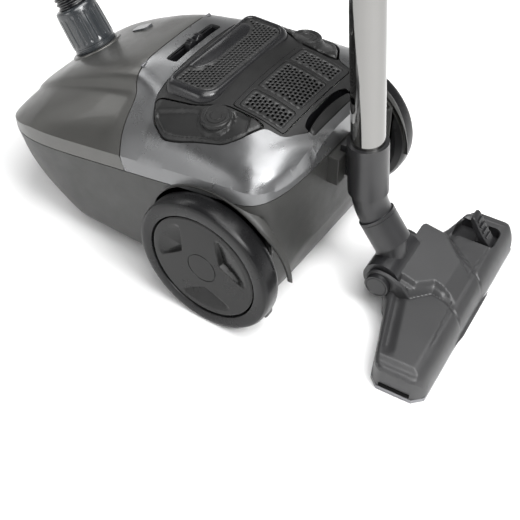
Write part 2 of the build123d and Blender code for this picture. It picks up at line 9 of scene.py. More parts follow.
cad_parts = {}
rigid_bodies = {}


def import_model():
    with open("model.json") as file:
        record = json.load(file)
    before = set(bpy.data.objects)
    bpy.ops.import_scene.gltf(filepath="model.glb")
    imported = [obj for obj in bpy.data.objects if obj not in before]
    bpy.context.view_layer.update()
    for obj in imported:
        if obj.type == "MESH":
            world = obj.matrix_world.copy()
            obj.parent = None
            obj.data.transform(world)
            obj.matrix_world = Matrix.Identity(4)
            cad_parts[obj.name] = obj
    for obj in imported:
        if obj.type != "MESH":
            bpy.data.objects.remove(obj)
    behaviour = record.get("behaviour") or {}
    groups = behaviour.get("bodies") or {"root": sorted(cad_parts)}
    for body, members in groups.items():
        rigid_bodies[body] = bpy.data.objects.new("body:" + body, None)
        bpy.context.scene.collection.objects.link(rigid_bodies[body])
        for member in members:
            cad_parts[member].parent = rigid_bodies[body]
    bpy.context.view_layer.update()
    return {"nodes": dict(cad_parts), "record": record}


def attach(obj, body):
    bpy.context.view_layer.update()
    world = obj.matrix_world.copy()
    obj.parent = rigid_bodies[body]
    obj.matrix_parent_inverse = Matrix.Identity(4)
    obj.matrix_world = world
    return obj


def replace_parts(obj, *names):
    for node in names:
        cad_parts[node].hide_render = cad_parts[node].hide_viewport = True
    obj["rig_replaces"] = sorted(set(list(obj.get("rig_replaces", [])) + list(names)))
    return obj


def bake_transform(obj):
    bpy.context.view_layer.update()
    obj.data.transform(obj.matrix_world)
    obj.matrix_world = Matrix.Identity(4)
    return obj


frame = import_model()
NODES = frame["nodes"]
AXLE_Y = 37.61
MM = 0.001


def point(x, y, z):
    """Millimetres from the rear axle, as a point in the part's frame."""
    return Vector((x * MM, (y + AXLE_Y) * MM, z * MM))


# ---- materials ----
def socket(shader, name, value):
    shader.inputs[name].default_value = value


def noise(tree, coords, scale, detail=3.0, rough=0.5):
    node = tree.nodes.new("ShaderNodeTexNoise")
    node.inputs["Scale"].default_value = scale
    node.inputs["Detail"].default_value = detail
    node.inputs["Roughness"].default_value = rough
    tree.links.new(coords.outputs["Object"], node.inputs["Vector"])
    return node


def ramp(tree, source, stops):
    node = tree.nodes.new("ShaderNodeValToRGB")
    node.color_ramp.elements[0].position, node.color_ramp.elements[0].color = stops[0][0], (*stops[0][1], 1)
    node.color_ramp.elements[1].position, node.color_ramp.elements[1].color = stops[1][0], (*stops[1][1], 1)
    tree.links.new(source, node.inputs["Fac"])
    return node


def material(name, color, rough, vary=0.12, rough_vary=0.06, grain=(900.0, 0.00004), metallic=0.0, coat=0.0,
             broad=9.0, flake=0.0, gleam=0.5):
    """Moulded or painted finish: broad tone variation, uneven gloss, and a fine grain in the bump."""
    mat = bpy.data.materials.new(name)
    mat.use_nodes = True
    tree = mat.node_tree
    shader = tree.nodes["Principled BSDF"]
    coords = tree.nodes.new("ShaderNodeTexCoord")
    base = Vector(color)
    wide = noise(tree, coords, broad, 4.0)
    tone = ramp(tree, wide.outputs["Fac"], [(0.3, base * (1 - vary)), (0.7, base * (1 + vary))])
    out = tone.outputs["Color"]
    if flake:
        specks = noise(tree, coords, 4200.0, 0.0)
        light = ramp(tree, specks.outputs["Fac"], [(0.42, (1 - flake,) * 3), (0.68, (1 + flake,) * 3)])
        mix = tree.nodes.new("ShaderNodeMix")
        mix.data_type, mix.blend_type = "RGBA", "MULTIPLY"
        mix.inputs["Factor"].default_value = 1.0
        tree.links.new(out, mix.inputs["A"])
        tree.links.new(light.outputs["Color"], mix.inputs["B"])
        out = mix.outputs["Result"]
    tree.links.new(out, shader.inputs["Base Color"])
    smudge = noise(tree, coords, 34.0, 5.0, 0.6)
    low, high = max(0.02, rough - rough_vary), min(1.0, rough + rough_vary)
    gloss = ramp(tree, smudge.outputs["Fac"], [(0.3, (low,) * 3), (0.7, (high,) * 3)])
    tree.links.new(gloss.outputs["Color"], shader.inputs["Roughness"])
    fine = noise(tree, coords, grain[0], 2.0)
    bump = tree.nodes.new("ShaderNodeBump")
    bump.inputs["Strength"].default_value = 1.0
    bump.inputs["Distance"].default_value = grain[1]
    tree.links.new(fine.outputs["Fac"], bump.inputs["Height"])
    tree.links.new(bump.outputs["Normal"], shader.inputs["Normal"])
    socket(shader, "Metallic", metallic)
    socket(shader, "Coat Weight", coat)
    socket(shader, "Coat Roughness", 0.08)
    socket(shader, "Specular IOR Level", gleam)
    return mat


MATERIALS = {
    "cover_grey": material("cover_grey", (0.098, 0.097, 0.092), 0.36, metallic=0.6, coat=0.15, flake=0.16,
                           vary=0.03),
    "shell_silver": material("shell_silver", (0.185, 0.187, 0.190), 0.30, metallic=0.8, coat=0.15, flake=0.04,
                             vary=0.03),
    "deck_grey": material("deck_grey", (0.016, 0.016, 0.016), 0.38, grain=(1500, 0.00003), gleam=0.3),
    "hump_grey": material("hump_grey", (0.013, 0.013, 0.014), 0.26, gleam=0.5),
    "grille_grey": material("grille_grey", (0.022, 0.022, 0.022), 0.42, gleam=0.35),
    "tub_grey": material("tub_grey", (0.023, 0.023, 0.0215), 0.46, grain=(1300, 0.00005), gleam=0.5),
    "black_plastic": material("black_plastic", (0.006, 0.006, 0.007), 0.32, gleam=0.4),
    "inner_plastic": material("inner_plastic", (0.16, 0.16, 0.15), 0.5),
    "indicator": material("indicator", (0.05, 0.052, 0.055), 0.15, coat=0.3),
    "hub_grey": material("hub_grey", (0.012, 0.012, 0.0118), 0.24, flake=0.1, gleam=0.2),
    "tread": material("tread", (0.008, 0.008, 0.0085), 0.30, gleam=0.22),
    "elbow_grey": material("elbow_grey", (0.014, 0.014, 0.015), 0.34, gleam=0.6),
    "cuff_grey": material("cuff_grey", (0.022, 0.025, 0.028), 0.24, gleam=0.9),
    "hose_black": material("hose_black", (0.004, 0.004, 0.005), 0.24, gleam=0.7),
    "nozzle_grey": material("nozzle_grey", (0.027, 0.027, 0.028), 0.46, grain=(1100, 0.00008), gleam=0.6),
    "pedal_black": material("pedal_black", (0.012, 0.012, 0.013), 0.42, gleam=0.5),
    "steel": material("steel", (0.24, 0.24, 0.25), 0.36, metallic=1.0),
    "pivot_dark": material("pivot_dark", (0.010, 0.010, 0.011), 0.36, gleam=0.5),
    "motor_can": material("motor_can", (0.30, 0.31, 0.32), 0.35, metallic=0.8),
    "motor_iron": material("motor_iron", (0.12, 0.12, 0.12), 0.5, metallic=0.6),
    "seal_rubber": material("seal_rubber", (0.003, 0.003, 0.003), 0.85, gleam=0.08),
    "filter_cloth": material("filter_cloth", (0.66, 0.66, 0.62), 0.9, grain=(500, 0.0004)),
    "bag_paper": material("bag_paper", (0.62, 0.56, 0.45), 0.85, grain=(260, 0.0006)),
    "brush_hair": material("brush_hair", (0.02, 0.02, 0.02), 0.7, grain=(700, 0.0005)),
    "board": material("board", (0.02, 0.12, 0.05), 0.35),
    "tube_chrome": material("tube_chrome", (0.26, 0.257, 0.25), 0.07, metallic=1.0, vary=0.02,
                            rough_vary=0.02, grain=(300, 0.000002)),
}
SLOT_OF = {s["node"]: s["material_slot"] for s in frame["record"]["subparts"]}
BODY_OF = {node: body for body, nodes in frame["record"]["behaviour"]["bodies"].items() for node in nodes}


def piece(name, mesh, body, slot_name, nodes=()):
    """Links a mesh as a piece of the object, on its body and in its material."""
    obj = bpy.data.objects.new(name, mesh)
    bpy.context.scene.collection.objects.link(obj)
    mesh.materials.clear()
    mesh.materials.append(MATERIALS[slot_name])
    if body:
        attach(obj, body)
    if nodes:
        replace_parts(obj, *nodes)
    return obj


def soften(obj, width, segments=2, angle=35.0):
    bevel = obj.modifiers.new("edges", "BEVEL")
    bevel.width, bevel.segments = width * MM, segments
    bevel.limit_method, bevel.angle_limit = "ANGLE", math.radians(angle)
    bevel.harden_normals = True
    return obj


def smooth_by_angle(mesh, angle):
    for polygon in mesh.polygons:
        polygon.use_smooth = True
    mesh.set_sharp_from_angle(angle=math.radians(angle))


def carry(node, width=0.6, angle=35.0, flat=1.0, segments=2):
    """The CAD piece itself with its flat faces joined up, its edges rounded and its curves shaded smooth."""
    bm = bmesh.new()
    bm.from_mesh(NODES[node].data)
    bmesh.ops.remove_doubles(bm, verts=bm.verts, dist=2e-6)
    bmesh.ops.dissolve_limit(bm, angle_limit=math.radians(flat), verts=bm.verts, edges=bm.edges)
    mesh = bpy.data.meshes.new(node + "_piece")
    bm.to_mesh(mesh)
    bm.free()
    smooth_by_angle(mesh, angle)
    obj = piece(node + "_piece", mesh, BODY_OF[node], SLOT_OF[node], [node])
    if width:
        soften(obj, width, segments, angle)
    return obj


# ---- camera ----
def make_camera():
    data = bpy.data.cameras.new("camera")
    data.lens, data.sensor_width = 69.23, 36.0
    data.clip_start, data.clip_end = 0.05, 60
    camera = bpy.data.objects.new("camera", data)
    bpy.context.scene.collection.objects.link(camera)
    az, el = math.radians(124.3), math.radians(45.9)
    look = Vector((-math.sin(az) * math.cos(el), math.cos(az) * math.cos(el), -math.sin(el)))
    camera.location = (0.7013, 0.4464 + AXLE_Y * MM, 0.820)
    camera.rotation_euler = look.to_track_quat("-Z", "Y").to_euler()
    bpy.context.scene.camera = camera


make_camera()

# ---- hose ----
INLET, INLET_TILT = (0.0, -259.0, 166.0), math.radians(31.5)
HOSE_ROUTE = [
    (-3, -384, 381), (-9, -431, 493), (-17, -469, 617), (-25, -491, 744), (-30, -491, 858),
    (-33, -471, 943), (-34, -436, 1005), (-32, -386, 1051), (-27, -327, 1079), (-20, -264, 1086),
    (-11, -201, 1075),
]
HOSE_R, RIB_PITCH, RIB_DEPTH = 18.0, 5.4, 1.9
WAND_FOOT, WAND_LEAN, WAND_LENGTH = Vector((0, 100, 168)), math.radians(5.2), 730
GRIP_LEAN, GRIP_LENGTH = math.radians(49.2), 125


def direction(tilt):
    return Vector((0, -math.sin(tilt), math.cos(tilt)))


def hose_points():
    inlet = Vector(INLET)
    start = inlet + direction(INLET_TILT) * 52
    first = inlet + direction(INLET_TILT) * (52 + 94)
    wand, grip = direction(WAND_LEAN), direction(GRIP_LEAN)
    end = WAND_FOOT + wand * WAND_LENGTH + grip * (GRIP_LENGTH + 34)
    last = end + grip * 73
    return [start, first] + [Vector(p) for p in HOSE_ROUTE] + [last, end]


def spline_line(points):
    """Points along the smooth line of a route."""
    data = bpy.data.curves.new("route", "CURVE")
    data.dimensions, data.resolution_u = "3D", 24
    spline = data.splines.new("NURBS")
    spline.points.add(len(points) - 1)
    for p, co in zip(spline.points, points):
        p.co = (*point(*co), 1.0)
    spline.order_u, spline.use_endpoint_u = 3, True
    obj = bpy.data.objects.new("route", data)
    mesh = bpy.data.meshes.new_from_object(obj)
    line = np.array([v.co for v in mesh.vertices], float)
    bpy.data.objects.remove(obj)
    return line


def resample(line, step):
    gaps = np.linalg.norm(np.diff(line, axis=0), axis=1)
    reach = np.concatenate([[0], np.cumsum(gaps)])
    count = max(2, int(round(reach[-1] / step)) + 1)
    at = np.linspace(0, reach[-1], count)
    return np.stack([np.interp(at, reach, line[:, i]) for i in range(3)], axis=1), at


def tube_mesh(name, line, radii, sides=40):
    """Tube with its own radius at every point of a line."""
    tangents = np.gradient(line, axis=0)
    tangents /= np.linalg.norm(tangents, axis=1)[:, None]
    side = np.cross(tangents[0], [1.0, 0.0, 0.0])
    if np.linalg.norm(side) < 0.1:
        side = np.cross(tangents[0], [0.0, 1.0, 0.0])
    verts, faces = [], []
    angles = np.linspace(0, 2 * math.pi, sides, endpoint=False)
    for i, (centre, tangent) in enumerate(zip(line, tangents)):
        side = side - tangent * side.dot(tangent)
        side /= np.linalg.norm(side)
        other = np.cross(tangent, side)
        for a in angles:
            verts.append(centre + radii[i] * (math.cos(a) * side + math.sin(a) * other))
        if i:
            for k in range(sides):
                a, b = (i - 1) * sides + k, (i - 1) * sides + (k + 1) % sides
                faces.append((a, b, b + sides, a + sides))
    faces.append(tuple(reversed(range(sides))))
    faces.append(tuple(range(len(verts) - sides, len(verts))))
    mesh = bpy.data.meshes.new(name)
    mesh.from_pydata(verts, [], faces)
    mesh.update()
    return mesh


def make_hose():
    line = spline_line(hose_points())
    fine, at = resample(line, RIB_PITCH * MM / 8)
    hinge = np.array(point(0, -139, 219))
    far = np.linalg.norm((fine - hinge)[:, 1:], axis=1)
    cut_low = int(np.argmax(far > 0.430))
    cut_high = int(np.argmax(fine[:, 2] > 0.801))
    wave = np.sin(2 * math.pi * at / (RIB_PITCH * MM))
    radii = (HOSE_R - RIB_DEPTH / 2 + RIB_DEPTH / 2 * np.sign(wave) * np.abs(wave) ** 0.6) * MM
    spans = [("hose_lower", 0, cut_low, ("lid", "machine")),
             ("hose_middle", cut_low, cut_high, ("machine", "wand")),
             ("hose_upper", cut_high, len(fine) - 1, ("wand", "wand_upper"))]
    for name, first, last, bodies in spans:
        part = fine[first : last + 1]
        mesh = tube_mesh(name + "_ribbed", part, radii[first : last + 1])
        for polygon in mesh.polygons:
            polygon.use_smooth = True
        obj = piece(name + "_ribbed", mesh, None, "hose_black", [name])
        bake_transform(obj)


make_hose()

# ---- the body's outer form ----
NOSE_Y, FRONT_BEND, TAIL_Y, REAR_BEND, HALF_WIDTH = -320.0, -150.0, 67.0, 10.0, 130.0
SEAM = ((-112.0, 142.0), (-141.0, 224.0))
TOP_LINE = np.array([(-330, 96), (-320, 108), (-300, 133), (-259, 165), (-220, 188), (-180, 208), (-141, 223),
                     (-100, 227), (-40, 228), (10, 223), (45, 213), (67, 199), (80, 190)], float)
BOTTOM_LINE = np.array([(-330, 91), (-320, 86), (-200, 18), (44, 18), (58, 34), (67, 80), (70, 96)], float)
FRONT_CROWN = [(0.85, 0.29, 0.5), (0.585, 0.60, 0.22), (0.545, 0.85, 0.34), (0.40, 0.985, 0.5),
               (0.15, 1.0, 0.5)]
REAR_CROWN = [(0.90, 0.46, 0.5), (0.74, 0.70, 0.5), (0.60, 0.86, 0.5), (0.40, 0.95, 0.5), (0.15, 1.0, 0.5)]


def eased(table, blur):
    """A short table as a smooth function of y."""
    y = np.arange(table[0, 0] - 20, table[-1, 0] + 20, 1.0)
    raw = np.interp(y, table[:, 0], table[:, 1])
    reach = int(3 * blur)
    kernel = np.exp(-0.5 * (np.arange(-reach, reach + 1) / blur) ** 2)
    kernel /= kernel.sum()
    padded = np.pad(raw, reach, mode="reflect", reflect_type="odd")
    smooth = np.convolve(padded, kernel, mode="valid")
    return lambda at: float(np.interp(at, y, smooth))


top_z, bottom_z = eased(TOP_LINE, 8), eased(BOTTOM_LINE, 4)


def half_width(y):
    t = max(0.0, (FRONT_BEND - y) / (FRONT_BEND - NOSE_Y), (y - REAR_BEND) / (TAIL_Y - REAR_BEND))
    return HALF_WIDTH * max(0.0, 1 - t**4) ** 0.25


def rim_z(y):
    return 161.0 + 0.185 * y


def crease_z(y):
    return rim_z(y) + min(19.0, 0.35 * (top_z(y) - rim_z(y)))


def rounded(points, softness, steps=6):
    """A run of straight lines with each corner rounded by its own share of the lines beside it."""
    out = [points[0]]
    for before, corner, after, soft in zip(points, points[1:], points[2:], softness):
        start, end = corner + (before - corner) * soft, corner + (after - corner) * soft
        for t in np.linspace(0, 1, steps):
            out.append((1 - t) ** 2 * start + 2 * t * (1 - t) * corner + t * t * end)
    out.append(points[-1])
    return np.array(out)


def crown(y):
    """The half section above the crease at y, from its edge to the middle: (x, z)."""
    wide, crease, top = half_width(y), crease_z(y), top_z(y)
    blend = min(1.0, max(0.0, (y + 141.0) / 51.0))
    points, softness = [np.array([wide, crease])], []
    for front, rear in zip(FRONT_CROWN, REAR_CROWN):
        x, z, soft = (f + (r - f) * blend for f, r in zip(front, rear))
        points.append(np.array([x * wide, crease + z * (top - crease)]))
        softness.append(min(soft, 0.5))
    points.append(np.array([0.0, top]))
    return rounded(points, softness)


_crowns = {}


def height(x, y):
    """The top surface's height over a plan point."""
    key = round(y, 1)
    if key not in _crowns:
        _crowns[key] = crown(key)[::-1]
    line = _crowns[key]
    return float(np.interp(abs(x), line[:, 0], line[:, 1]))


def seam_y(z):
    (y0, z0), (y1, z1) = SEAM
    return y0 + (z - z0) * (y1 - y0) / (z1 - z0)


def grid_mesh(bm, rows, closed=False):
    """Faces between rows of equal length."""
    rings = [[bm.verts.new(p) for p in row] for row in rows]
    for low, high in zip(rings, rings[1:]):
        count = len(low)
        for k in range(count if closed else count - 1):
            bm.faces.new((low[k], low[(k + 1) % count], high[(k + 1) % count], high[k]))
    return rings


def finish_mesh(bm, name, angle=35.0, weld=1e-6):
    bmesh.ops.remove_doubles(bm, verts=bm.verts, dist=weld)
    bmesh.ops.dissolve_degenerate(bm, dist=1e-7, edges=bm.edges)
    bmesh.ops.recalc_face_normals(bm, faces=bm.faces)
    mesh = bpy.data.meshes.new(name)
    bm.to_mesh(mesh)
    bm.free()
    smooth_by_angle(mesh, angle)
    return mesh


def thicken(obj, depth, width=0.5, segments=2, angle=40.0):
    solid = obj.modifiers.new("wall", "SOLIDIFY")
    solid.thickness, solid.offset, solid.use_even_offset = depth * MM, -1.0, True
    return soften(obj, width, segments, angle)


def offset_outline(points, distance):
    """A closed plan outline moved outwards by a distance."""
    p = np.array(points, float)
    area = 0.5 * np.sum(p[:, 0] * np.roll(p[:, 1], -1) - np.roll(p[:, 0], -1) * p[:, 1])
    sign = 1.0 if area > 0 else -1.0
    ahead, behind = np.roll(p, -1, axis=0) - p, p - np.roll(p, 1, axis=0)
    ahead /= np.linalg.norm(ahead, axis=1)[:, None] + 1e-12
    behind /= np.linalg.norm(behind, axis=1)[:, None] + 1e-12
    n1 = np.stack([behind[:, 1], -behind[:, 0]], axis=1) * sign
    n2 = np.stack([ahead[:, 1], -ahead[:, 0]], axis=1) * sign
    n = n1 + n2
    n /= np.maximum(np.linalg.norm(n, axis=1)[:, None], 1e-9)
    grow = distance / np.maximum(np.sum(n * n1, axis=1), 0.4)
    return p + n * grow[:, None]


def round_corners(points, radius, steps=5):
    """A closed outline with its corners rounded."""
    p = [np.array(q, float) for q in points]
    out = []
    for i, corner in enumerate(p):
        before, after = p[i - 1] - corner, p[(i + 1) % len(p)] - corner
        a, b = np.linalg.norm(before), np.linalg.norm(after)
        cut = min(radius, 0.45 * a, 0.45 * b)
        start, end = corner + before / a * cut, corner + after / b * cut
        for t in np.linspace(0, 1, steps):
            out.append((1 - t) ** 2 * start + 2 * t * (1 - t) * corner + t * t * end)
    return np.array(out)


def even(points, step):
    """A closed outline with points added along its long lines."""
    out = []
    for i, p in enumerate(points):
        q = points[(i + 1) % len(points)]
        count = max(1, int(np.linalg.norm(q - p) / step))
        out += [p + (q - p) * k / count for k in range(count)]
    return np.array(out)


def inside(points, loop):
    """Which of these plan points lie within a closed outline."""
    x, y = points[:, 0], points[:, 1]
    result = np.zeros(len(points), bool)
    for (x0, y0), (x1, y1) in zip(loop, np.roll(loop, -1, axis=0)):
        if y0 == y1:
            continue
        crosses = (y0 > y) != (y1 > y)
        result ^= crosses & (x < (x1 - x0) * (y - y0) / (y1 - y0) + x0)
    return result


def clear_of(points, loop, gap):
    starts, ends = loop, np.roll(loop, -1, axis=0)
    keep = np.ones(len(points), bool)
    for a, b in zip(starts, ends):
        d = b - a
        t = np.clip(((points - a) @ d) / max(d @ d, 1e-12), 0, 1)
        keep &= np.linalg.norm(points - (a + t[:, None] * d), axis=1) > gap
    return keep


def sheet_over(name, outer, holes, surface, spacing=3.0, skirt=None):
    """A fine mesh over a plan region with holes, laid on surface(x, y).

    skirt(x, y) lists heights below its edge.
    """
    outer = np.array(outer, float)
    low, high = outer.min(axis=0), outer.max(axis=0)
    columns = np.arange(low[0], high[0], spacing)
    rows = np.arange(low[1], high[1], spacing * 0.866)
    grid = np.array([(x + (spacing / 2 if k % 2 else 0), y) for k, y in enumerate(rows) for x in columns])
    keep = inside(grid, outer) & clear_of(grid, outer, spacing * 0.45)
    for hole in holes:
        keep &= ~inside(grid, hole) & clear_of(grid, hole, spacing * 0.45)
    verts, edges = [], []
    for loop in [outer, *holes]:
        first = len(verts)
        verts += [tuple(p) for p in loop]
        edges += [(first + k, first + (k + 1) % len(loop)) for k in range(len(loop))]
    verts += [tuple(p) for p in grid[keep]]
    found, _, triangles, *_ = geometry.delaunay_2d_cdt([Vector(v) for v in verts], edges, [], 0, 1e-6, False)
    plan = np.array([(v.x, v.y) for v in found])
    middles = np.array([plan[list(t)].mean(axis=0) for t in triangles])
    good = inside(middles, outer)
    for hole in holes:
        good &= ~inside(middles, hole)
    bm = bmesh.new()
    made = [bm.verts.new(point(x, y, surface(x, y))) for x, y in plan]
    for t, ok in zip(triangles, good):
        if ok:
            bm.faces.new([made[k] for k in t])
    if skirt:
        path = np.vstack([outer, outer[:1]])
        rows_down = [[point(x, y, surface(x, y)) for x, y in path]]
        for level in range(len(skirt(0.0, 0.0))):
            rows_down.append([point(x, y, skirt(x, y)[level]) for x, y in path])
        grid_mesh(bm, rows_down)
    for vert in [v for v in bm.verts if not v.link_faces]:
        bm.verts.remove(vert)
    return bm


def face_up(bm):
    """Turns every face so that the top of the sheet looks up."""
    bmesh.ops.remove_doubles(bm, verts=bm.verts, dist=1e-6)
    bmesh.ops.recalc_face_normals(bm, faces=bm.faces)
    bm.normal_update()
    total = sum(f.normal.z * f.calc_area() for f in bm.faces)
    if total < 0:
        bmesh.ops.reverse_faces(bm, faces=bm.faces)


def sheet_piece(name, bm, nodes, slot_name, depth=2.4, edge=0.5, angle=35.0):
    face_up(bm)
    mesh = bpy.data.meshes.new(name)
    bm.to_mesh(mesh)
    bm.free()
    smooth_by_angle(mesh, angle)
    obj = piece(name, mesh, BODY_OF[nodes[0]], slot_name, nodes)
    return thicken(obj, depth, edge, angle=angle)


# ---- front cover ----
def make_cover():
    bm = bmesh.new()
    ys = NOSE_Y + (1 - np.cos(np.linspace(0, math.pi / 2, 70))) * (-96.0 - NOSE_Y)
    rows = []
    for y in ys:
        wide, low, crease = half_width(y), rim_z(y) + 0.5, crease_z(y)
        band = [(wide, z) for z in np.linspace(low, crease, 4)[:-1]]
        half = band + [tuple(p) for p in crown(y)]
        full = half + [(-x, z) for x, z in reversed(half[:-1])]
        rows.append([point(x, y, z) for x, z in full])
    grid_mesh(bm, rows)
    bmesh.ops.remove_doubles(bm, verts=bm.verts, dist=2e-6)
    (y0, z0), (y1, z1) = SEAM
    normal = Vector((0, z1 - z0, y0 - y1)).normalized()
    bmesh.ops.bisect_plane(bm, geom=bm.verts[:] + bm.edges[:] + bm.faces[:], plane_co=point(0, y0 - 1.1, z0),
                           plane_no=normal, clear_outer=True)
    sheet_piece("cover_shell", bm, ["front_cover"], "cover_grey", 2.6, 0.7, 24)


def ring_mesh(name, profile, origin, axis, turns=96, angle=30.0):
    """A turned piece: profile is (radius, distance along the axis) in millimetres."""
    axis = Vector(axis).normalized()
    side = axis.orthogonal().normalized()
    other = axis.cross(side)
    bm = bmesh.new()
    rows = []
    for r, d in profile:
        rows.append([point(*(Vector(origin) + axis * d + (side * math.cos(a) + other * math.sin(a)) * r))
                     for a in np.linspace(0, 2 * math.pi, turns, endpoint=False)])
    rings = grid_mesh(bm, rows, closed=True)
    if profile[0] != profile[-1]:
        for ring, r in ((rings[0], profile[0][0]), (rings[-1], profile[-1][0])):
            if r > 0.01:
                bm.faces.new(ring)
    return finish_mesh(bm, name, angle)


def make_inlet():
    axis = direction(INLET_TILT)
    profile = [(25.3, -20), (25.3, -0.6), (25.9, 0), (29.4, 0), (30.4, -0.7), (31.0, -2.2), (31.4, -12),
               (32.4, -22), (35.5, -32), (39, -40), (38, -44), (30, -44), (25.3, -20)]
    piece("inlet_pedestal", ring_mesh("inlet_pedestal", profile, INLET, axis), "lid", "cover_grey")


# ---- rear shell and deck ----
DECK = [(0, -101), (86, -101), (107, -89), (117, -70), (115, -50), (104, -4), (92, 8), (68, 21),
        (66, 40), (42, 52), (0, 52)]
LATCH_NOTCH = [(38.6, 52), (38.6, 47.5), (30, 44.2), (15, 42.2), (0, 41.6)]
PEDAL = [(86, -100), (106.4, -88.4), (116, -69.6), (114, -50), (103.2, -4.6), (91.2, 7), (68.4, 19.6),
         (65, 10), (66, -26), (80, -54)]
BUTTON = (83.0, -27.0)
SEAM_POINTS = 110


def mirrored(points):
    return points + [(-x, y) for x, y in reversed(points) if x > 0]


def distance_to(loop, x, y):
    a, b = loop, np.roll(loop, -1, axis=0)
    d = b - a
    p = np.array((x, y))
    t = np.clip(np.sum((p - a) * d, axis=1) / np.maximum(np.sum(d * d, axis=1), 1e-9), 0, 1)
    return float(np.min(np.linalg.norm(p - (a + t[:, None] * d), axis=1)))


def signed(loop, x, y):
    reach = distance_to(loop, x, y)
    return reach if inside(np.array([(x, y)]), loop)[0] else -reach


def ease(value, low, high):
    t = min(1.0, max(0.0, (value - low) / (high - low)))
    return t * t * (3 - 2 * t)


PEDAL_EDGE = offset_outline(round_corners(PEDAL, 7), -1.0)


def flipped(points):
    return [(-x, y) for x, y in reversed(points)]


def rectangle(x0, x1, y0, y1, radius):
    return round_corners([(x0, y0), (x1, y0), (x1, y1), (x0, y1)], radius)


def shell_outline():
    """The shell in plan: along the seam, then round the sides and the tail."""
    seam = []
    for x in np.linspace(129.6, -129.6, SEAM_POINTS):
        y = -130.0
        for _ in range(12):
            y = seam_y(height(x, y)) + 0.9
        seam.append((x, y))
    side = [(half_width(y), y) for y in np.linspace(seam[-1][1], 40, 60)[1:]]
    ts = np.linspace(0, 1, 60)[1:]
    corner = [(half_width(y), y) for y in 40 + (TAIL_Y - 0.4 - 40) * np.sin(ts * math.pi / 2)]
    right = side + corner
    left = [(x, y) for x, y in reversed(right)]
    across = [(x, TAIL_Y - 0.4) for x in np.linspace(-right[-1][0], right[-1][0], 20)[1:-1]]
    return np.array(seam + [(-x, y) for x, y in right] + across + left)


def make_shell():
    """The silver shell: its top with room for the deck and the slider, and its side down to the tub."""
    rear = [(43, 52), (38.8, 53), (38.8, 58.4), (0, 58.4)]
    deck = even(offset_outline(round_corners(mirrored(DECK[:-2] + rear), 6), 0.35), 3.0)
    slot = even(rectangle(-40, 40, -123, -109, 4), 3.0)
    outer = shell_outline()
    bm = sheet_over("shell", outer, [deck, slot], height, 3.2)
    last = SEAM_POINTS - 1
    first = next(k for k, (x, y) in enumerate(outer) if x < -129 and y > outer[last][1] + 0.01)
    path = [outer[(first - 1 + k) % len(outer)] for k in range(len(outer) - SEAM_POINTS + 2)]
    rows = [[point(x, y, height(x, y)) for x, y in path]]
    for k in (1, 2, 3, 4):
        lift = 0.5 if k == 4 else 0.0
        rows.append([point(x, y, crease_z(y) - (crease_z(y) - rim_z(y)) * k / 4 + lift) for x, y in path])
    grid_mesh(bm, rows)
    sheet_piece("shell_rear", bm, ["rear_shell"], "shell_silver", 2.6, 0.7, 26)


def make_deck():
    deck = even(offset_outline(round_corners(mirrored(DECK[:-1] + LATCH_NOTCH), 6), -0.25), 3.0)
    holes = [
        even(rectangle(-62.6, 62.6, -22.6, 38.6, 4), 3.0),
        even(offset_outline(round_corners(PEDAL, 7), 1.5), 3.0),
        even(offset_outline(round_corners(flipped(PEDAL), 7), 1.5), 3.0),
    ]
    bm = sheet_over("deck", deck, holes, lambda x, y: height(x, y) - 0.7, 3.2)
    sheet_piece("deck_panel", bm, ["control_deck"], "deck_grey", 1.3, 0.4)


PEDAL_STEP = np.array([(97, -92), (83, -47), (74, -30), (68, -9), (62, 2), (130, 30), (140, -100)], float)


def pedal_height(x, y):
    """A raised inner band and a lower outer panel, level round the button, with a rolled outer edge."""
    distance = math.hypot(abs(x) - BUTTON[0], y - BUTTON[1])
    low = ease(signed(PEDAL_STEP, abs(x), y), 0.0, 2.6) * ease(distance, 16.5, 19.0)
    edge = distance_to(PEDAL_EDGE, abs(x), y)
    rim = 1.0 - ease(edge, 2.2, 4.2)
    drop = max(0.0, 1 - edge / 2.2)
    roll = 1.7 * (1 - math.sqrt(max(0.0, 1 - drop * drop)))
    return height(x, y) + 1.9 - 3.4 * low * (1 - 0.55 * rim) - roll


def make_pedal(side, node):
    outline = PEDAL_EDGE if side > 0 else PEDAL_EDGE * (-1, 1)
    bm = sheet_over("pedal", even(outline, 2.0), [], pedal_height, 1.7,
                    skirt=lambda x, y: [pedal_height(x, y) - 3.0, pedal_height(x, y) - 6.0])
    sheet_piece(node + "_flap", bm, [node], "deck_grey", 2.0, 0.3)
    x, y = BUTTON[0] * side, BUTTON[1]
    level = height(*BUTTON) + 2.4
    profile = [(0.0, 0.2), (5.4, 0.3), (5.8, -0.2), (6.4, -0.2), (6.8, 0.3), (9.6, 0.2), (10.0, -0.5),
               (10.8, -0.5), (11.2, 0.1), (12.6, 0.3), (13.2, 1.0), (14.6, 1.0), (15.4, 0.2), (15.8, -1.6),
               (16.4, -2.4), (16.4, -9.5), (0.0, -9.5)]
    mesh = ring_mesh(node + "_button", profile, (x, y, level), (0.16 * side, 0, 1), 72)
    piece(node + "_button", mesh, BODY_OF[node], "deck_grey")


GRILLES = [(-59, -31), (-26, 26), (31, 59)]
GRILLE_Y = (-17.0, 33.0)


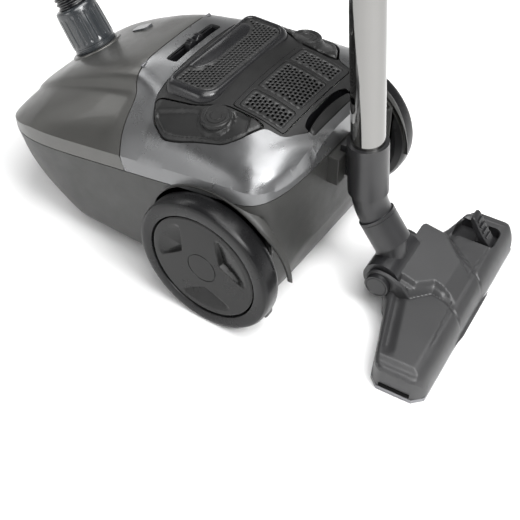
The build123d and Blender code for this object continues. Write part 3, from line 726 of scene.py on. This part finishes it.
def perforated(name, outline, body_node, slot_name, surface, pitch, hole, margin, depth, nodes=(),
               solid=None):
    """A thin plate over an outline with staggered rounded holes."""
    outline = np.array(outline, float)
    low, high = outline.min(axis=0), outline.max(axis=0)
    clear = offset_outline(outline, -margin)
    holes, row = [], 0
    y = low[1] + margin + hole[1] / 2
    while y < high[1] - margin:
        x = low[0] + margin + hole[0] / 2 + (row % 2) * pitch[0] / 2
        while x < high[0] - margin:
            loop = rectangle(x - hole[0] / 2, x + hole[0] / 2, y - hole[1] / 2, y + hole[1] / 2, hole[1] / 2)
            loop = loop[[0, 2, 4, 5, 7, 9, 10, 12, 14, 15, 17, 19]]
            if inside(loop, clear).all() and not (solid is not None and inside(loop, solid).any()):
                holes.append(loop)
            x += pitch[0]
        y, row = y + pitch[1], row + 1
    verts, edges = [], []
    for loop in [even(outline, 2.5), *holes]:
        first = len(verts)
        verts += [Vector(p) for p in loop]
        edges += [(first + k, first + (k + 1) % len(loop)) for k in range(len(loop))]
    found, _, triangles, *_ = geometry.delaunay_2d_cdt(verts, edges, [], 0, 1e-6, False)
    plan = np.array([(v.x, v.y) for v in found])
    middles = np.array([plan[list(t)].mean(axis=0) for t in triangles])
    good = inside(middles, outline)
    centres = np.array([loop.mean(axis=0) for loop in holes])
    for k, m in enumerate(middles):
        near = np.argmin(((centres - m) ** 2).sum(axis=1))
        if inside(m[None, :], holes[near])[0]:
            good[k] = False
    bm = bmesh.new()
    made = [bm.verts.new(point(x, y, surface(x, y))) for x, y in plan]
    for t, ok in zip(triangles, good):
        if ok:
            bm.faces.new([made[k] for k in t])
    face_up(bm)
    mesh = bpy.data.meshes.new(name)
    bm.to_mesh(mesh)
    bm.free()
    smooth_by_angle(mesh, 40)
    obj = piece(name, mesh, BODY_OF[body_node], slot_name, nodes)
    solid = obj.modifiers.new("wall", "SOLIDIFY")
    solid.thickness, solid.offset = depth * MM, -1.0
    return obj


def make_door():
    windows = [even(rectangle(x0 - 0.2, x1 + 0.2, GRILLE_Y[0] - 0.2, GRILLE_Y[1] + 0.2, 4), 3.0)
               for x0, x1 in GRILLES]
    bm = sheet_over("door", even(rectangle(-62, 62, -22, 38, 4), 3.0), windows, height, 3.0)
    sheet_piece("door_frame", bm, ["filter_door"], "deck_grey", 2.4, 0.6)
    for k, (x0, x1) in enumerate(GRILLES):
        outline = rectangle(x0, x1, *GRILLE_Y, 4)
        nodes = ["outlet_grilles"] if k == 1 else []
        # Painted shade: a near-black sheet 4.6 mm under each grille stands in for the shade inside the door,
        # so the holes look black.
        bm = bmesh.new()
        bm.faces.new([bm.verts.new(point(x, y, height(x, y) - 4.6)) for x, y in even(outline, 3.0)])
        bmesh.ops.triangulate(bm, faces=bm.faces[:])
        piece(f"grille_painted_shade_{k}", finish_mesh(bm, f"grille_painted_shade_{k}", 60), "filter_flap", "seal_rubber")
        perforated(f"grille_{k}", outline, "outlet_grilles", "grille_grey", lambda x, y: height(x, y) - 0.5,
                   (5.4, 4.0), (4.2, 2.6), 1.2, 1.6, nodes)


# ---- raised hump with its perforated top ----
def rounded_box_rings(levels, steps=8):
    """Rows of plan outlines: each level is (half width, front y, rear y, front radius, rear radius, z)."""
    rows = []
    for half, y0, y1, r0, r1, z in levels:
        loop = []
        for cx, cy, r, start in ((half - r0, y0 + r0, r0, -90), (half - r1, y1 - r1, r1, 0),
                                 (-half + r1, y1 - r1, r1, 90), (-half + r0, y0 + r0, r0, 180)):
            for a in np.radians(np.linspace(start, start + 90, steps)):
                loop.append((cx + r * math.cos(a), cy + r * math.sin(a)))
        rows.append([point(x, y, z) for x, y in loop])
    return rows


def make_hump():
    levels = [
        (80, -99, -36, 9, 20, 198), (79.3, -98.8, -36.6, 9, 20, 204), (78.5, -98.5, -37.5, 9, 20, 210),
        (77, -98, -38.6, 9, 19, 218), (75.8, -97.5, -39.6, 9, 18, 223), (74.6, -96.9, -40.6, 9, 18, 226),
        (73, -95.8, -42, 9, 17, 228), (71, -94.2, -43.6, 8, 16, 229.0), (69.2, -92.8, -45, 8, 15, 229.2),
        (68.2, -92, -45.8, 7, 14, 228.8), (67.8, -91.7, -46.1, 7, 14, 227.6),
        (67.8, -91.7, -46.1, 7, 14, 225.0),
    ]
    bm = bmesh.new()
    grid_mesh(bm, rounded_box_rings(levels), closed=True)
    obj = piece("hump_shell", finish_mesh(bm, "hump_shell", 50), "machine", "hump_grey", ["hump_cover"])
    solid = obj.modifiers.new("wall", "SOLIDIFY")
    solid.thickness, solid.offset = 1.6 * MM, -1.0
    rim = rounded_box_rings([(67.5, -91.4, -46.4, 6.8, 13.8, 0)])[0]
    outline = [(p.x / MM, p.y / MM - AXLE_Y) for p in rim]
    oval = round_corners([(44, -94), (41, -80), (24, -73), (-40, -73), (-54, -79), (-57, -94)], 12, 8)
    perforated("hump_grid", outline, "hump_mesh", "grille_grey", lambda x, y: 228.2, (5.0, 3.7), (3.9, 2.4),
               1.4, 1.4, ["hump_mesh"], oval)
    corners = [(42.5, -91.2), (39.5, -81), (23, -74.6), (-39, -74.6), (-52.5, -80), (-55.5, -91.2)]
    plate = offset_outline(round_corners(corners, 11, 8), -0.6)
    rows = [[point(x, y, z) for x, y in offset_outline(plate, grow)]
            for grow, z in ((1.0, 227.6), (0.9, 228.6), (0.0, 229.1))]
    bm = bmesh.new()
    rings = grid_mesh(bm, rows, closed=True)
    for ring in (rings[0], rings[-1]):
        bm.faces.new(ring)
    piece("hump_inset", finish_mesh(bm, "hump_inset", 50), "machine", "hump_grey")
    # Painted shade: a near-black sheet under the perforated top stands in for the shade inside the hump, so
    # the holes look black.
    bm = bmesh.new()
    bm.faces.new([bm.verts.new(point(x, y, 223.5)) for x, y in outline])
    piece("hump_painted_shade", finish_mesh(bm, "hump_painted_shade", 60), "machine", "seal_rubber")


make_cover()
make_inlet()
make_shell()
make_deck()
make_pedal(1, "left_pedal")
make_pedal(-1, "right_pedal")
make_door()
make_hump()


# ---- tub, wheels ----
def tub_half(y):
    wide, low, high = half_width(y), bottom_z(y), rim_z(y) - 0.5
    knee = min(low + 16, (low + high) / 2)
    points = [np.array(p, float) for p in ((wide, high), (0.95 * wide, knee), (0.88 * wide, low), (0, low))]
    line = rounded(points, [0.3, 0.4], 8)
    upright = np.linspace(points[0], line[1], 8)[:-1]
    return [tuple(p) for p in upright] + [tuple(p) for p in line[1:]]


def applied(obj):
    """The object's mesh with its modifiers worked in."""
    bpy.context.view_layer.update()
    mesh = bpy.data.meshes.new_from_object(obj.evaluated_get(bpy.context.evaluated_depsgraph_get()))
    return mesh


def loose(name, bm):
    mesh = bpy.data.meshes.new(name)
    bmesh.ops.recalc_face_normals(bm, faces=bm.faces)
    bm.to_mesh(mesh)
    bm.free()
    obj = bpy.data.objects.new(name, mesh)
    bpy.context.scene.collection.objects.link(obj)
    return obj


def disc(bm, radius, low, high, place, turn, sides=96):
    matrix = Matrix.Translation(point(*place)) @ turn @ Matrix.Translation((0, 0, (low + high) / 2 * MM))
    bmesh.ops.create_cone(bm, cap_ends=True, segments=sides, radius1=radius * MM, radius2=radius * MM,
                          depth=(high - low) * MM, matrix=matrix)


def trim_to_tub(mesh):
    """Cuts off what would stick out past the tub's tail or under its floor."""
    bm = bmesh.new()
    bm.from_mesh(mesh)
    corner = point(0, 64, 20)
    for outward in ((0, 1, 0), (0, 0, -1)):
        cut = bmesh.ops.bisect_plane(bm, geom=bm.verts[:] + bm.edges[:] + bm.faces[:], plane_co=corner,
                                     plane_no=outward, clear_outer=True)
        bmesh.ops.holes_fill(bm, edges=[e for e in cut["geom_cut"] if isinstance(e, bmesh.types.BMEdge)])
    bm.to_mesh(mesh)
    bm.free()


def make_tub():
    bm = bmesh.new()
    front = NOSE_Y + 0.6 + (1 - np.cos(np.linspace(0, math.pi / 2, 36))) * (-120 - NOSE_Y)
    rear = TAIL_Y - 0.4 - (1 - np.cos(np.linspace(math.pi / 2, 0, 30))) * (TAIL_Y + 10)
    ys = [*front, *np.linspace(front[-1], rear[0], 14)[1:-1], *rear]
    rows = []
    for y in ys:
        half = tub_half(y)
        rows.append([point(x, y, z) for x, z in half + [(-x, z) for x, z in reversed(half[:-1])]])
    rings = grid_mesh(bm, rows)
    for ring in (rings[0], rings[-1]):
        bm.faces.new(ring)
    bmesh.ops.remove_doubles(bm, verts=bm.verts, dist=2e-6)
    shell = loose("tub_blank", bm)
    solid = shell.modifiers.new("wall", "SOLIDIFY")
    solid.thickness, solid.offset = 3.0 * MM, -1.0
    cutters = bmesh.new()
    sideways = Matrix.Rotation(math.pi / 2, 4, "Y")
    for side in (1, -1):
        disc(cutters, 84, min(122 * side, 150 * side), max(122 * side, 150 * side), (0, 0, 81), sideways, 128)
    disc(cutters, 24, 0, 37, (0, -205, 0), Matrix.Identity(4))
    cutter = loose("tub_cutter", cutters)
    cut = shell.modifiers.new("arches", "BOOLEAN")
    cut.object, cut.operation, cut.solver = cutter, "DIFFERENCE", "EXACT"
    mesh = applied(shell)
    for obj in (shell, cutter):
        bpy.data.objects.remove(obj)
    mesh.name = "tub_shell"
    smooth_by_angle(mesh, 28)
    piece("tub_shell", mesh, "machine", "tub_grey", ["base_tub"])
    for side in (1, -1):
        well = [(84, 7.5), (84, 2), (83, 0.6), (16, 0.6), (16, -2.5), (87, -2.5), (87, 7.5)]
        mesh = ring_mesh(f"arch_well_{side}", well, (120.4 * side, 0, 81), (side, 0, 0), 128)
        trim_to_tub(mesh)
        piece(f"arch_well_{side}", mesh, "machine", "tub_grey")
        make_fender(side)
    cup = [(24, 18.5), (24, 36.3), (5.2, 36.3), (5.2, 48), (0, 48), (0, 51), (15, 51), (16, 50), (16, 39.3),
           (27, 39.3), (27, 20)]
    piece("caster_cup", ring_mesh("caster_cup", cup, (0, -205, 0), (0, 0, 1)), "machine", "tub_grey")


def make_fender(side):
    """The raised lip that follows the wheel round the body's side."""
    section = [(84.0, 1.0), (84.0, 9.5), (84.8, 10.6), (86.4, 10.8), (88.0, 9.6), (89.0, 6.0), (89.4, 1.0)]
    bm = bmesh.new()
    rows = []
    for a in np.radians(np.linspace(2, 178, 70)):
        fade = min(1.0, (math.degrees(a) - 2) / 45, (178 - math.degrees(a)) / 45)
        rows.append([point((120 + d * (0.1 + 0.9 * fade)) * side, r * math.cos(a), 81 + r * math.sin(a))
                     for r, d in section])
    rings = grid_mesh(bm, rows)
    for ring in (rings[0], rings[-1]):
        bm.faces.new(ring)
    piece(f"fender_{side}", finish_mesh(bm, f"fender_{side}", 40), "machine", "tub_grey")


def hub_depth(r, angle):
    """How far the hub's face is sunk at a radius and angle: three scooped crescents."""
    depth = 0.0
    for turn in (155.0, 35.0, 275.0):
        off = (math.degrees(angle) - turn + 180) % 360 - 180
        t = r * math.sin(math.radians(off))
        u = r * math.cos(math.radians(off))
        if abs(off) > 60 or abs(t) > 31:
            continue
        inner = 27 + 0.42 * abs(t) + 0.004 * t * t
        wall = min(1.0, max(0.0, (u - inner) / 2.2))
        fall = min(1.0, max(0.0, (56 - r) / max(56 - inner, 1.0))) ** 1.3
        ends = min(1.0, max(0.0, (30 - abs(t)) / 4.0))
        depth = max(depth, 6.0 * wall * wall * (3 - 2 * wall) * fall * ends)
    return depth


def make_wheel(side, tyre_node, hub_node):
    body = BODY_OF[tyre_node]
    ring = [(64.6, 125.5), (71, 125.5), (78, 129.0), (80.4, 133.0), (81.0, 137.0), (81.0, 147.0),
            (80.4, 150.2), (79.0, 152.4), (77.0, 153.4), (75.0, 153.5), (66.0, 153.5),
            (65.0, 153.1), (64.6, 152.2), (64.6, 125.5)]
    mesh = ring_mesh(f"tyre_{side}", ring, (0, 0, 81), (side, 0, 0), 160, 25)
    piece(f"tyre_{side}", mesh, body, "tread", [tyre_node])
    bm = bmesh.new()
    rows = []
    radii = [0.05, *np.linspace(2, 16, 6), 16.6, 16.9, 17.5, 17.8, *np.linspace(18.5, 61.0, 56),
             62.2, 62.8, 63.0]
    count = 240
    angles = np.linspace(0, 2 * math.pi, count, endpoint=False)
    for r in radii:
        groove = 0.7 if 16.7 < r < 17.7 else 0.0
        dome = 0.35 * (1 - (r / 63) ** 2)
        roll = {62.2: 0.25, 62.8: 0.7, 63.0: 1.4}.get(round(r, 1), 0.0)
        row = []
        for a in angles:
            x = 152.6 + dome - groove - roll - hub_depth(r, a)
            row.append(point(x * side, r * math.cos(a), 81 + r * math.sin(a)))
        rows.append(row)
    for r, x in ((63.0, 133.0), (20.0, 133.0), (18.0, 126.0), (6.1, 126.0)):
        rows.append([point(x * side, r * math.cos(a), 81 + r * math.sin(a)) for a in angles])
    rings = grid_mesh(bm, rows, closed=True)
    bm.faces.new(rings[0])
    piece(f"hub_{side}", finish_mesh(bm, f"hub_{side}", 32), body, "hub_grey", [hub_node])


# ---- floor nozzle ----
YAW = math.radians(4.0)
PIVOT = (142.0, 42.0)
NOZZLE_OUTLINE = [(0, 238), (122, 238), (132, 227), (132, 188), (124, 180), (62, 161), (46, 156), (40, 150),
                  (-60, 150), (-66, 161), (-84, 171), (-124, 180), (-132, 188), (-132, 227), (-122, 238)]
NECK_PANEL = np.array([(16, 120), (22, 178), (6, 193), (10, 212), (20, 231), (-16, 231), (-42, 198),
                       (-62, 176), (-62, 120)], float)
PANEL_LIP = np.array([(30, 120), (34, 176), (14, 195), (17, 212), (30, 235), (-24, 236), (-50, 200),
                      (-70, 178), (-70, 120)], float)
POCKET = rectangle(-111, -79, 177, 226, 7)


NOZZLE_EDGE = round_corners(NOZZLE_OUTLINE, 9, 7)


def line_gap(x, y, a, b):
    """Signed distance from a line, positive on its left."""
    (x0, y0), (x1, y1) = a, b
    length = math.hypot(x1 - x0, y1 - y0)
    return ((x1 - x0) * (y - y0) - (y1 - y0) * (x - x0)) / length


def nozzle_height(x, y):
    edge = distance_to(NOZZLE_EDGE, x, y)
    z = 37.0
    side = abs(x)
    rear = -line_gap(side, y, (25, 158), (121, 184))          # grows towards the rear rim
    across = ease(side, 22, 38) * (1 - ease(side, 100, 118))
    channel = ease(-rear, -1.0, 3.5) * (1 - ease(-rear, 5.0, 15.0)) * across
    z -= 4.5 * channel
    z -= 3.5 * ease(rear, 0, 14)
    z -= 3.0 * ease(side, 116, 124)
    step = 224 - 0.07 * (104 - side) * (1 if side < 104 else 0)
    z -= 1.6 * ease(y, step - 0.6, step + 0.6) * (1 - ease(side, 104, 107))
    if y > 214:
        t = min(1.0, (y - 214) / 24.0)
        z = min(z, 13 + 24.5 * math.sqrt(max(0.0, 1 - t**2.2)))
    drop = max(0.0, 1 - edge / 4.5)
    z -= 4.5 * (1 - math.sqrt(max(0.0, 1 - drop * drop)))
    neck = 57.0 - 0.19 * (y - 140) - 0.35 * max(0.0, y - 205)
    lip = signed(PANEL_LIP, x, y)
    z += (max(z, neck - 5.0) - z) * ease(lip, -2.0, 4.0)
    z -= 1.1 * (1 - ease(abs(lip + 2.0), 0.4, 2.4)) * ease(y, 165, 185)
    panel = signed(NECK_PANEL, x, y)
    z += (max(z, neck) - z) * ease(panel, -4.0, 1.0)
    return z


def yaw_about_pivot(bm):
    turn = Matrix.Rotation(YAW, 4, "Z")
    centre = Matrix.Translation(point(0, PIVOT[0], 0))
    bm.transform(centre @ turn @ centre.inverted())


def make_nozzle():
    outline = even(NOZZLE_EDGE, 2.2)
    bm = sheet_over("nozzle", outline, [even(POCKET, 2.5)], nozzle_height, 1.5,
                    skirt=lambda x, y: [nozzle_height(x, y) * 0.66 + 1.7, nozzle_height(x, y) * 0.33 + 3.4,
                                        6.0, 5.2])
    yaw_about_pivot(bm)
    sheet_piece("nozzle_shell", bm, ["nozzle_housing"], "nozzle_grey", 2.6, 0.5, 28)
    bm = bmesh.new()
    loop = even(POCKET, 2.5)
    rows = [[point(x, y, min(nozzle_height(x, y), 40) - 1.0) for x, y in loop]]
    for z in (30.0, 24.2):
        rows.append([point(x, y, z) for x, y in loop])
    rings = grid_mesh(bm, rows, closed=True)
    bm.faces.new(rings[-1])
    yaw_about_pivot(bm)
    piece("nozzle_pocket", finish_mesh(bm, "nozzle_pocket", 40), "nozzle", "pedal_black")
    make_ears()
    make_rocker()
    make_bumper()


def make_ears():
    for side in (1, -1):
        bm = bmesh.new()
        path = []
        for a in np.radians(np.linspace(95, 290, 22)):
            path.append((PIVOT[0] + 15.5 * math.cos(a), PIVOT[1] + 15.5 * math.sin(a)))
        path += [(176, 22), (180, 34), (168, 50), (150, 57)]
        rows = []
        for x, inset in ((31.6, 0.8), (32.2, 0.0), (35.9, 0.0), (36.5, 0.8)):
            loop = offset_outline(path, -inset)
            rows.append([point(x * side, y, z) for y, z in loop])
        rings = grid_mesh(bm, rows, closed=True)
        for ring in (rings[0], rings[-1]):
            bm.faces.new(ring)
        yaw_about_pivot(bm)
        piece(f"nozzle_ear_{side}", finish_mesh(bm, f"nozzle_ear_{side}", 35), "nozzle", "nozzle_grey")
        cap = [(0.0, 42.0), (10.6, 42.0), (11.0, 41.6), (11.8, 41.6), (12.2, 42.2), (13.2, 42.2),
               (14.0, 41.4), (14.0, 37.2), (13.0, 36.5), (3.9, 36.5), (3.9, 28.0), (0.0, 28.0)]
        mesh = ring_mesh(f"pivot_cap_{side}", cap, (0, *PIVOT), (side, 0, 0), 64)
        turn = Matrix.Rotation(YAW, 4, "Z")
        centre = Matrix.Translation(point(0, PIVOT[0], 0))
        mesh.transform(centre @ turn @ centre.inverted())
        piece(f"pivot_cap_{side}", mesh, "nozzle", "pivot_dark", ["pivot_pin"] if side > 0 else [])


def make_rocker():
    """The upright ribbed foot rocker: a leaning plate on a round foot."""
    bm = bmesh.new()
    side_view = [(223.0, 30.5), (222.0, 27.5), (218.5, 26.0), (214.5, 27.5), (209.0, 34.0), (203.5, 42.0),
                 (198.0, 52.0), (194.2, 60.5), (194.4, 64.0), (197.0, 65.4), (200.0, 63.6),
                 (206.0, 53.5), (212.5, 44.0), (219.0, 36.0)]
    rows = []
    for x, inset in ((-100.3, 1.2), (-99.6, 0.3), (-98.8, 0.0), (-85.2, 0.0), (-84.4, 0.3), (-83.7, 1.2)):
        rows.append([point(x, y, z) for y, z in offset_outline(side_view, -inset)])
    rings = grid_mesh(bm, rows, closed=True)
    for ring in (rings[0], rings[-1]):
        bm.faces.new(ring)
    for k in range(4):
        y, z = 203.5 + 4.0 * k, 60.0 - 6.3 * k
        matrix = Matrix.Translation(point(-92, y, z)) @ Matrix.Rotation(math.radians(-57), 4, "X")
        size = Matrix.Diagonal((12.5 * MM, 2.6 * MM, 1.6 * MM, 1))
        bmesh.ops.create_cube(bm, size=1.0, matrix=matrix @ size)
    disc(bm, 5, -100, -84, (0, 208, 30), Matrix.Rotation(math.pi / 2, 4, "Y"), 32)
    yaw_about_pivot(bm)
    mesh = finish_mesh(bm, "rocker_plate", 35)
    soften(piece("rocker_plate", mesh, "rocker", "pedal_black", ["nozzle_pedal"]), 0.4)


def make_bumper():
    """The soft strips let into the nozzle's two ends."""
    for side in (1, -1):
        bm = bmesh.new()
        bmesh.ops.create_cube(bm, size=1.0, matrix=Matrix.Translation(point(132.2 * side, 207.5, 9.5))
                              @ Matrix.Diagonal((2.4 * MM, 34 * MM, 4.6 * MM, 1)))
        yaw_about_pivot(bm)
        mesh = finish_mesh(bm, f"bumper_{side}", 35)
        soften(piece(f"bumper_{side}", mesh, "nozzle", "seal_rubber"), 0.8, 3)


# ---- hose cuff ----
def make_cuff(name, node, slot_name, origin, axis, levels, flutes, span, depth):
    """A turned cuff whose grip has long flutes between two distances."""
    axis = Vector(axis).normalized()
    side = axis.orthogonal().normalized()
    other = axis.cross(side)
    bm = bmesh.new()
    rows = []
    for r, d in levels:
        row = []
        for a in np.linspace(0, 2 * math.pi, 288, endpoint=False):
            wave = max(0.0, math.cos(a * flutes)) ** 0.5
            cut = depth * wave * ease(d, span[0], span[0] + 2.5) * (1 - ease(d, span[1] - 2.5, span[1]))
            rr = r - (cut if r > 20 else 0.0)
            row.append(point(*(Vector(origin) + axis * d + (side * math.cos(a) + other * math.sin(a)) * rr)))
        rows.append(row)
    grid_mesh(bm, rows, closed=True)
    piece(name, finish_mesh(bm, name, 40), BODY_OF[node], slot_name, [node])


def make_cuffs():
    levels = [(16.2, -36), (20.9, -36), (20.9, 0.3), (24.6, 0.3), (25.0, 1.0), (25.0, 4.2), (24.4, 4.8),
              (24.4, 6.2), (25.0, 6.8)]
    levels += [(25.0 - 0.9 * ((d - 8) / 36) ** 2, d) for d in np.linspace(8, 46, 22)]
    levels += [(23.9, 46.6), (23.9, 48.4), (23.2, 50.6), (21.8, 51.7), (19.5, 52.0), (16.2, 52.0),
               (16.2, -36)]
    make_cuff("hose_cuff_turned", "hose_cuff", "cuff_grey", INLET, direction(INLET_TILT), levels, 18, (9, 44),
              0.9)
    tail = WAND_FOOT + direction(WAND_LEAN) * WAND_LENGTH + direction(GRIP_LEAN) * GRIP_LENGTH
    levels = [(16.2, -28), (19.9, -28), (19.9, 0.3), (23.5, 0.3), (24.0, 1.0), (24.0, 5.0)]
    levels += [(24.0 - 1.2 * ((d - 5) / 24) ** 2, d) for d in np.linspace(6, 29, 14)]
    levels += [(22.0, 31.5), (20.6, 33.5), (19.0, 34.0), (16.2, 34.0), (16.2, -28)]
    make_cuff("grip_cuff_turned", "grip_cuff", "cuff_grey", tail, direction(GRIP_LEAN), levels, 18, (7, 27),
              0.8)


# ---- latch and slider ----
def make_latch():
    """The curved bar that releases the filter door, behind its dark finger gap."""
    bm = bmesh.new()
    rows = []
    for x in np.linspace(-37.4, 37.4, 64):
        front = 48.0 + 3.6 * (x / 37.4) ** 2
        top = lambda y: height(x, y) - 0.5 - 1.6 * ease(abs(x), 34, 37.4)
        section = [(front + 0.4, 194.0), (front, top(front) - 2.2), (front + 0.5, top(front) - 0.6),
                   (front + 1.6, top(front)), (55.0, top(55)), (56.6, top(56.6) - 0.3),
                   (57.6, top(57.6) - 1.5), (57.8, 194.0)]
        rows.append([point(x, y, z) for y, z in section])
    rings = grid_mesh(bm, rows, closed=True)
    for ring in (rings[0], rings[-1]):
        bm.faces.new(ring)
    mesh = finish_mesh(bm, "latch_bar", 40)
    piece("latch_bar", mesh, BODY_OF["filter_latch"], "deck_grey", ["filter_latch"])
    outline = rectangle(-38.2, 38.2, 41.8, 58.2, 3)
    rows = [[point(x, y, height(x, y) - 3.2) for x, y in even(outline, 3.0)]]
    for z in (190.4, 189.8):
        rows.append([point(x, y, z) for x, y in even(outline, 3.0)])
    bm = bmesh.new()
    rings = grid_mesh(bm, rows, closed=True)
    bm.faces.new(rings[-1])
    piece("latch_well", finish_mesh(bm, "latch_well", 40), "machine", "black_plastic")


def make_knob():
    """Two ribbed lobes with a saddle between them."""
    bm = bmesh.new()
    rows = []
    for x in np.linspace(-12.3, 12.3, 44):
        lobe = 4.0 * math.sin(math.pi * min(1.0, abs(x) / 12.3)) ** 0.8
        ribs = 0.35 * math.cos(x * 2 * math.pi / 2.6) * ease(abs(x), 2.0, 4.0)
        top = 227.0 + lobe + ribs - 4.0 * ease(abs(x), 10.8, 12.3)
        section = [(-119.9, 212.5), (-119.9, top - 1.4), (-119.2, top - 0.3), (-118.0, top),
                   (-114.0, top), (-112.8, top - 0.3), (-112.1, top - 1.4), (-112.1, 212.5)]
        rows.append([point(x, y, z) for y, z in section])
    rings = grid_mesh(bm, rows, closed=True)
    for ring in (rings[0], rings[-1]):
        bm.faces.new(ring)
    piece("knob_lobes", finish_mesh(bm, "knob_lobes", 40), "suction_slider", "black_plastic", ["slider_knob"])


make_tub()
make_wheel(1, "left_tyre", "left_hubcap")
make_wheel(-1, "right_tyre", "right_hubcap")
make_nozzle()
make_cuffs()
make_latch()
make_knob()


# ---- every CAD piece gets its finish ----
replaced = {n for o in bpy.data.objects for n in o.get("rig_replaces", [])}
for name in NODES:
    if name not in replaced:
        carry(name)


# ---- floor, light ----
def make_floor():
    data = bpy.data.meshes.new("floor")
    data.from_pydata([(-6, -6, 0), (6, -6, 0), (6, 6, 0), (-6, 6, 0)], [], [(0, 1, 2, 3)])
    floor = bpy.data.objects.new("floor", data)
    bpy.context.scene.collection.objects.link(floor)
    data.materials.append(material("floor_white", (0.92, 0.92, 0.92), 0.55, vary=0.01, broad=2.0))


def area_light(name, place, target, size, power):
    data = bpy.data.lights.new(name, "AREA")
    data.shape, data.size, data.size_y = "RECTANGLE", size[0], size[1]
    data.energy = power
    light = bpy.data.objects.new(name, data)
    light.location = place
    light.rotation_euler = (Vector(target) - Vector(place)).to_track_quat("-Z", "Y").to_euler()
    bpy.context.scene.collection.objects.link(light)


def make_world():
    """A bright horizon and floor under a dark ceiling, as in a studio with flags above the table."""
    world = bpy.data.worlds.new("studio")
    bpy.context.scene.world = world
    world.use_nodes = True
    tree = world.node_tree
    background = tree.nodes["Background"]
    coords = tree.nodes.new("ShaderNodeTexCoord")
    split = tree.nodes.new("ShaderNodeSeparateXYZ")
    tree.links.new(coords.outputs["Generated"], split.inputs["Vector"])
    shade = ramp(tree, split.outputs["Z"], [(0.05, (1.0, 1.0, 1.0)), (0.36, (0.05, 0.05, 0.05))])
    tree.links.new(shade.outputs["Color"], background.inputs["Color"])
    background.inputs["Strength"].default_value = 0.85


bpy.context.scene.view_settings.view_transform = "Standard"
make_floor()
make_world()
area_light("key", (0.5, 1.9, 2.2), (0, 0, 0.1), (1.0, 1.0), 55)
area_light("over", (-0.35, 0.55, 2.4), (-0.1, 0.1, 0), (2.0, 1.8), 72)
area_light("fill", (1.6, 1.2, 2.6), (0, 0, 0), (1.6, 1.6), 45)
area_light("far", (-0.6, -2.4, 1.9), (0, 0, 0), (2.6, 0.8), 24)
area_light("side", (2.4, -0.9, 0.9), (0, 0, 0.1), (1.2, 0.8), 10)
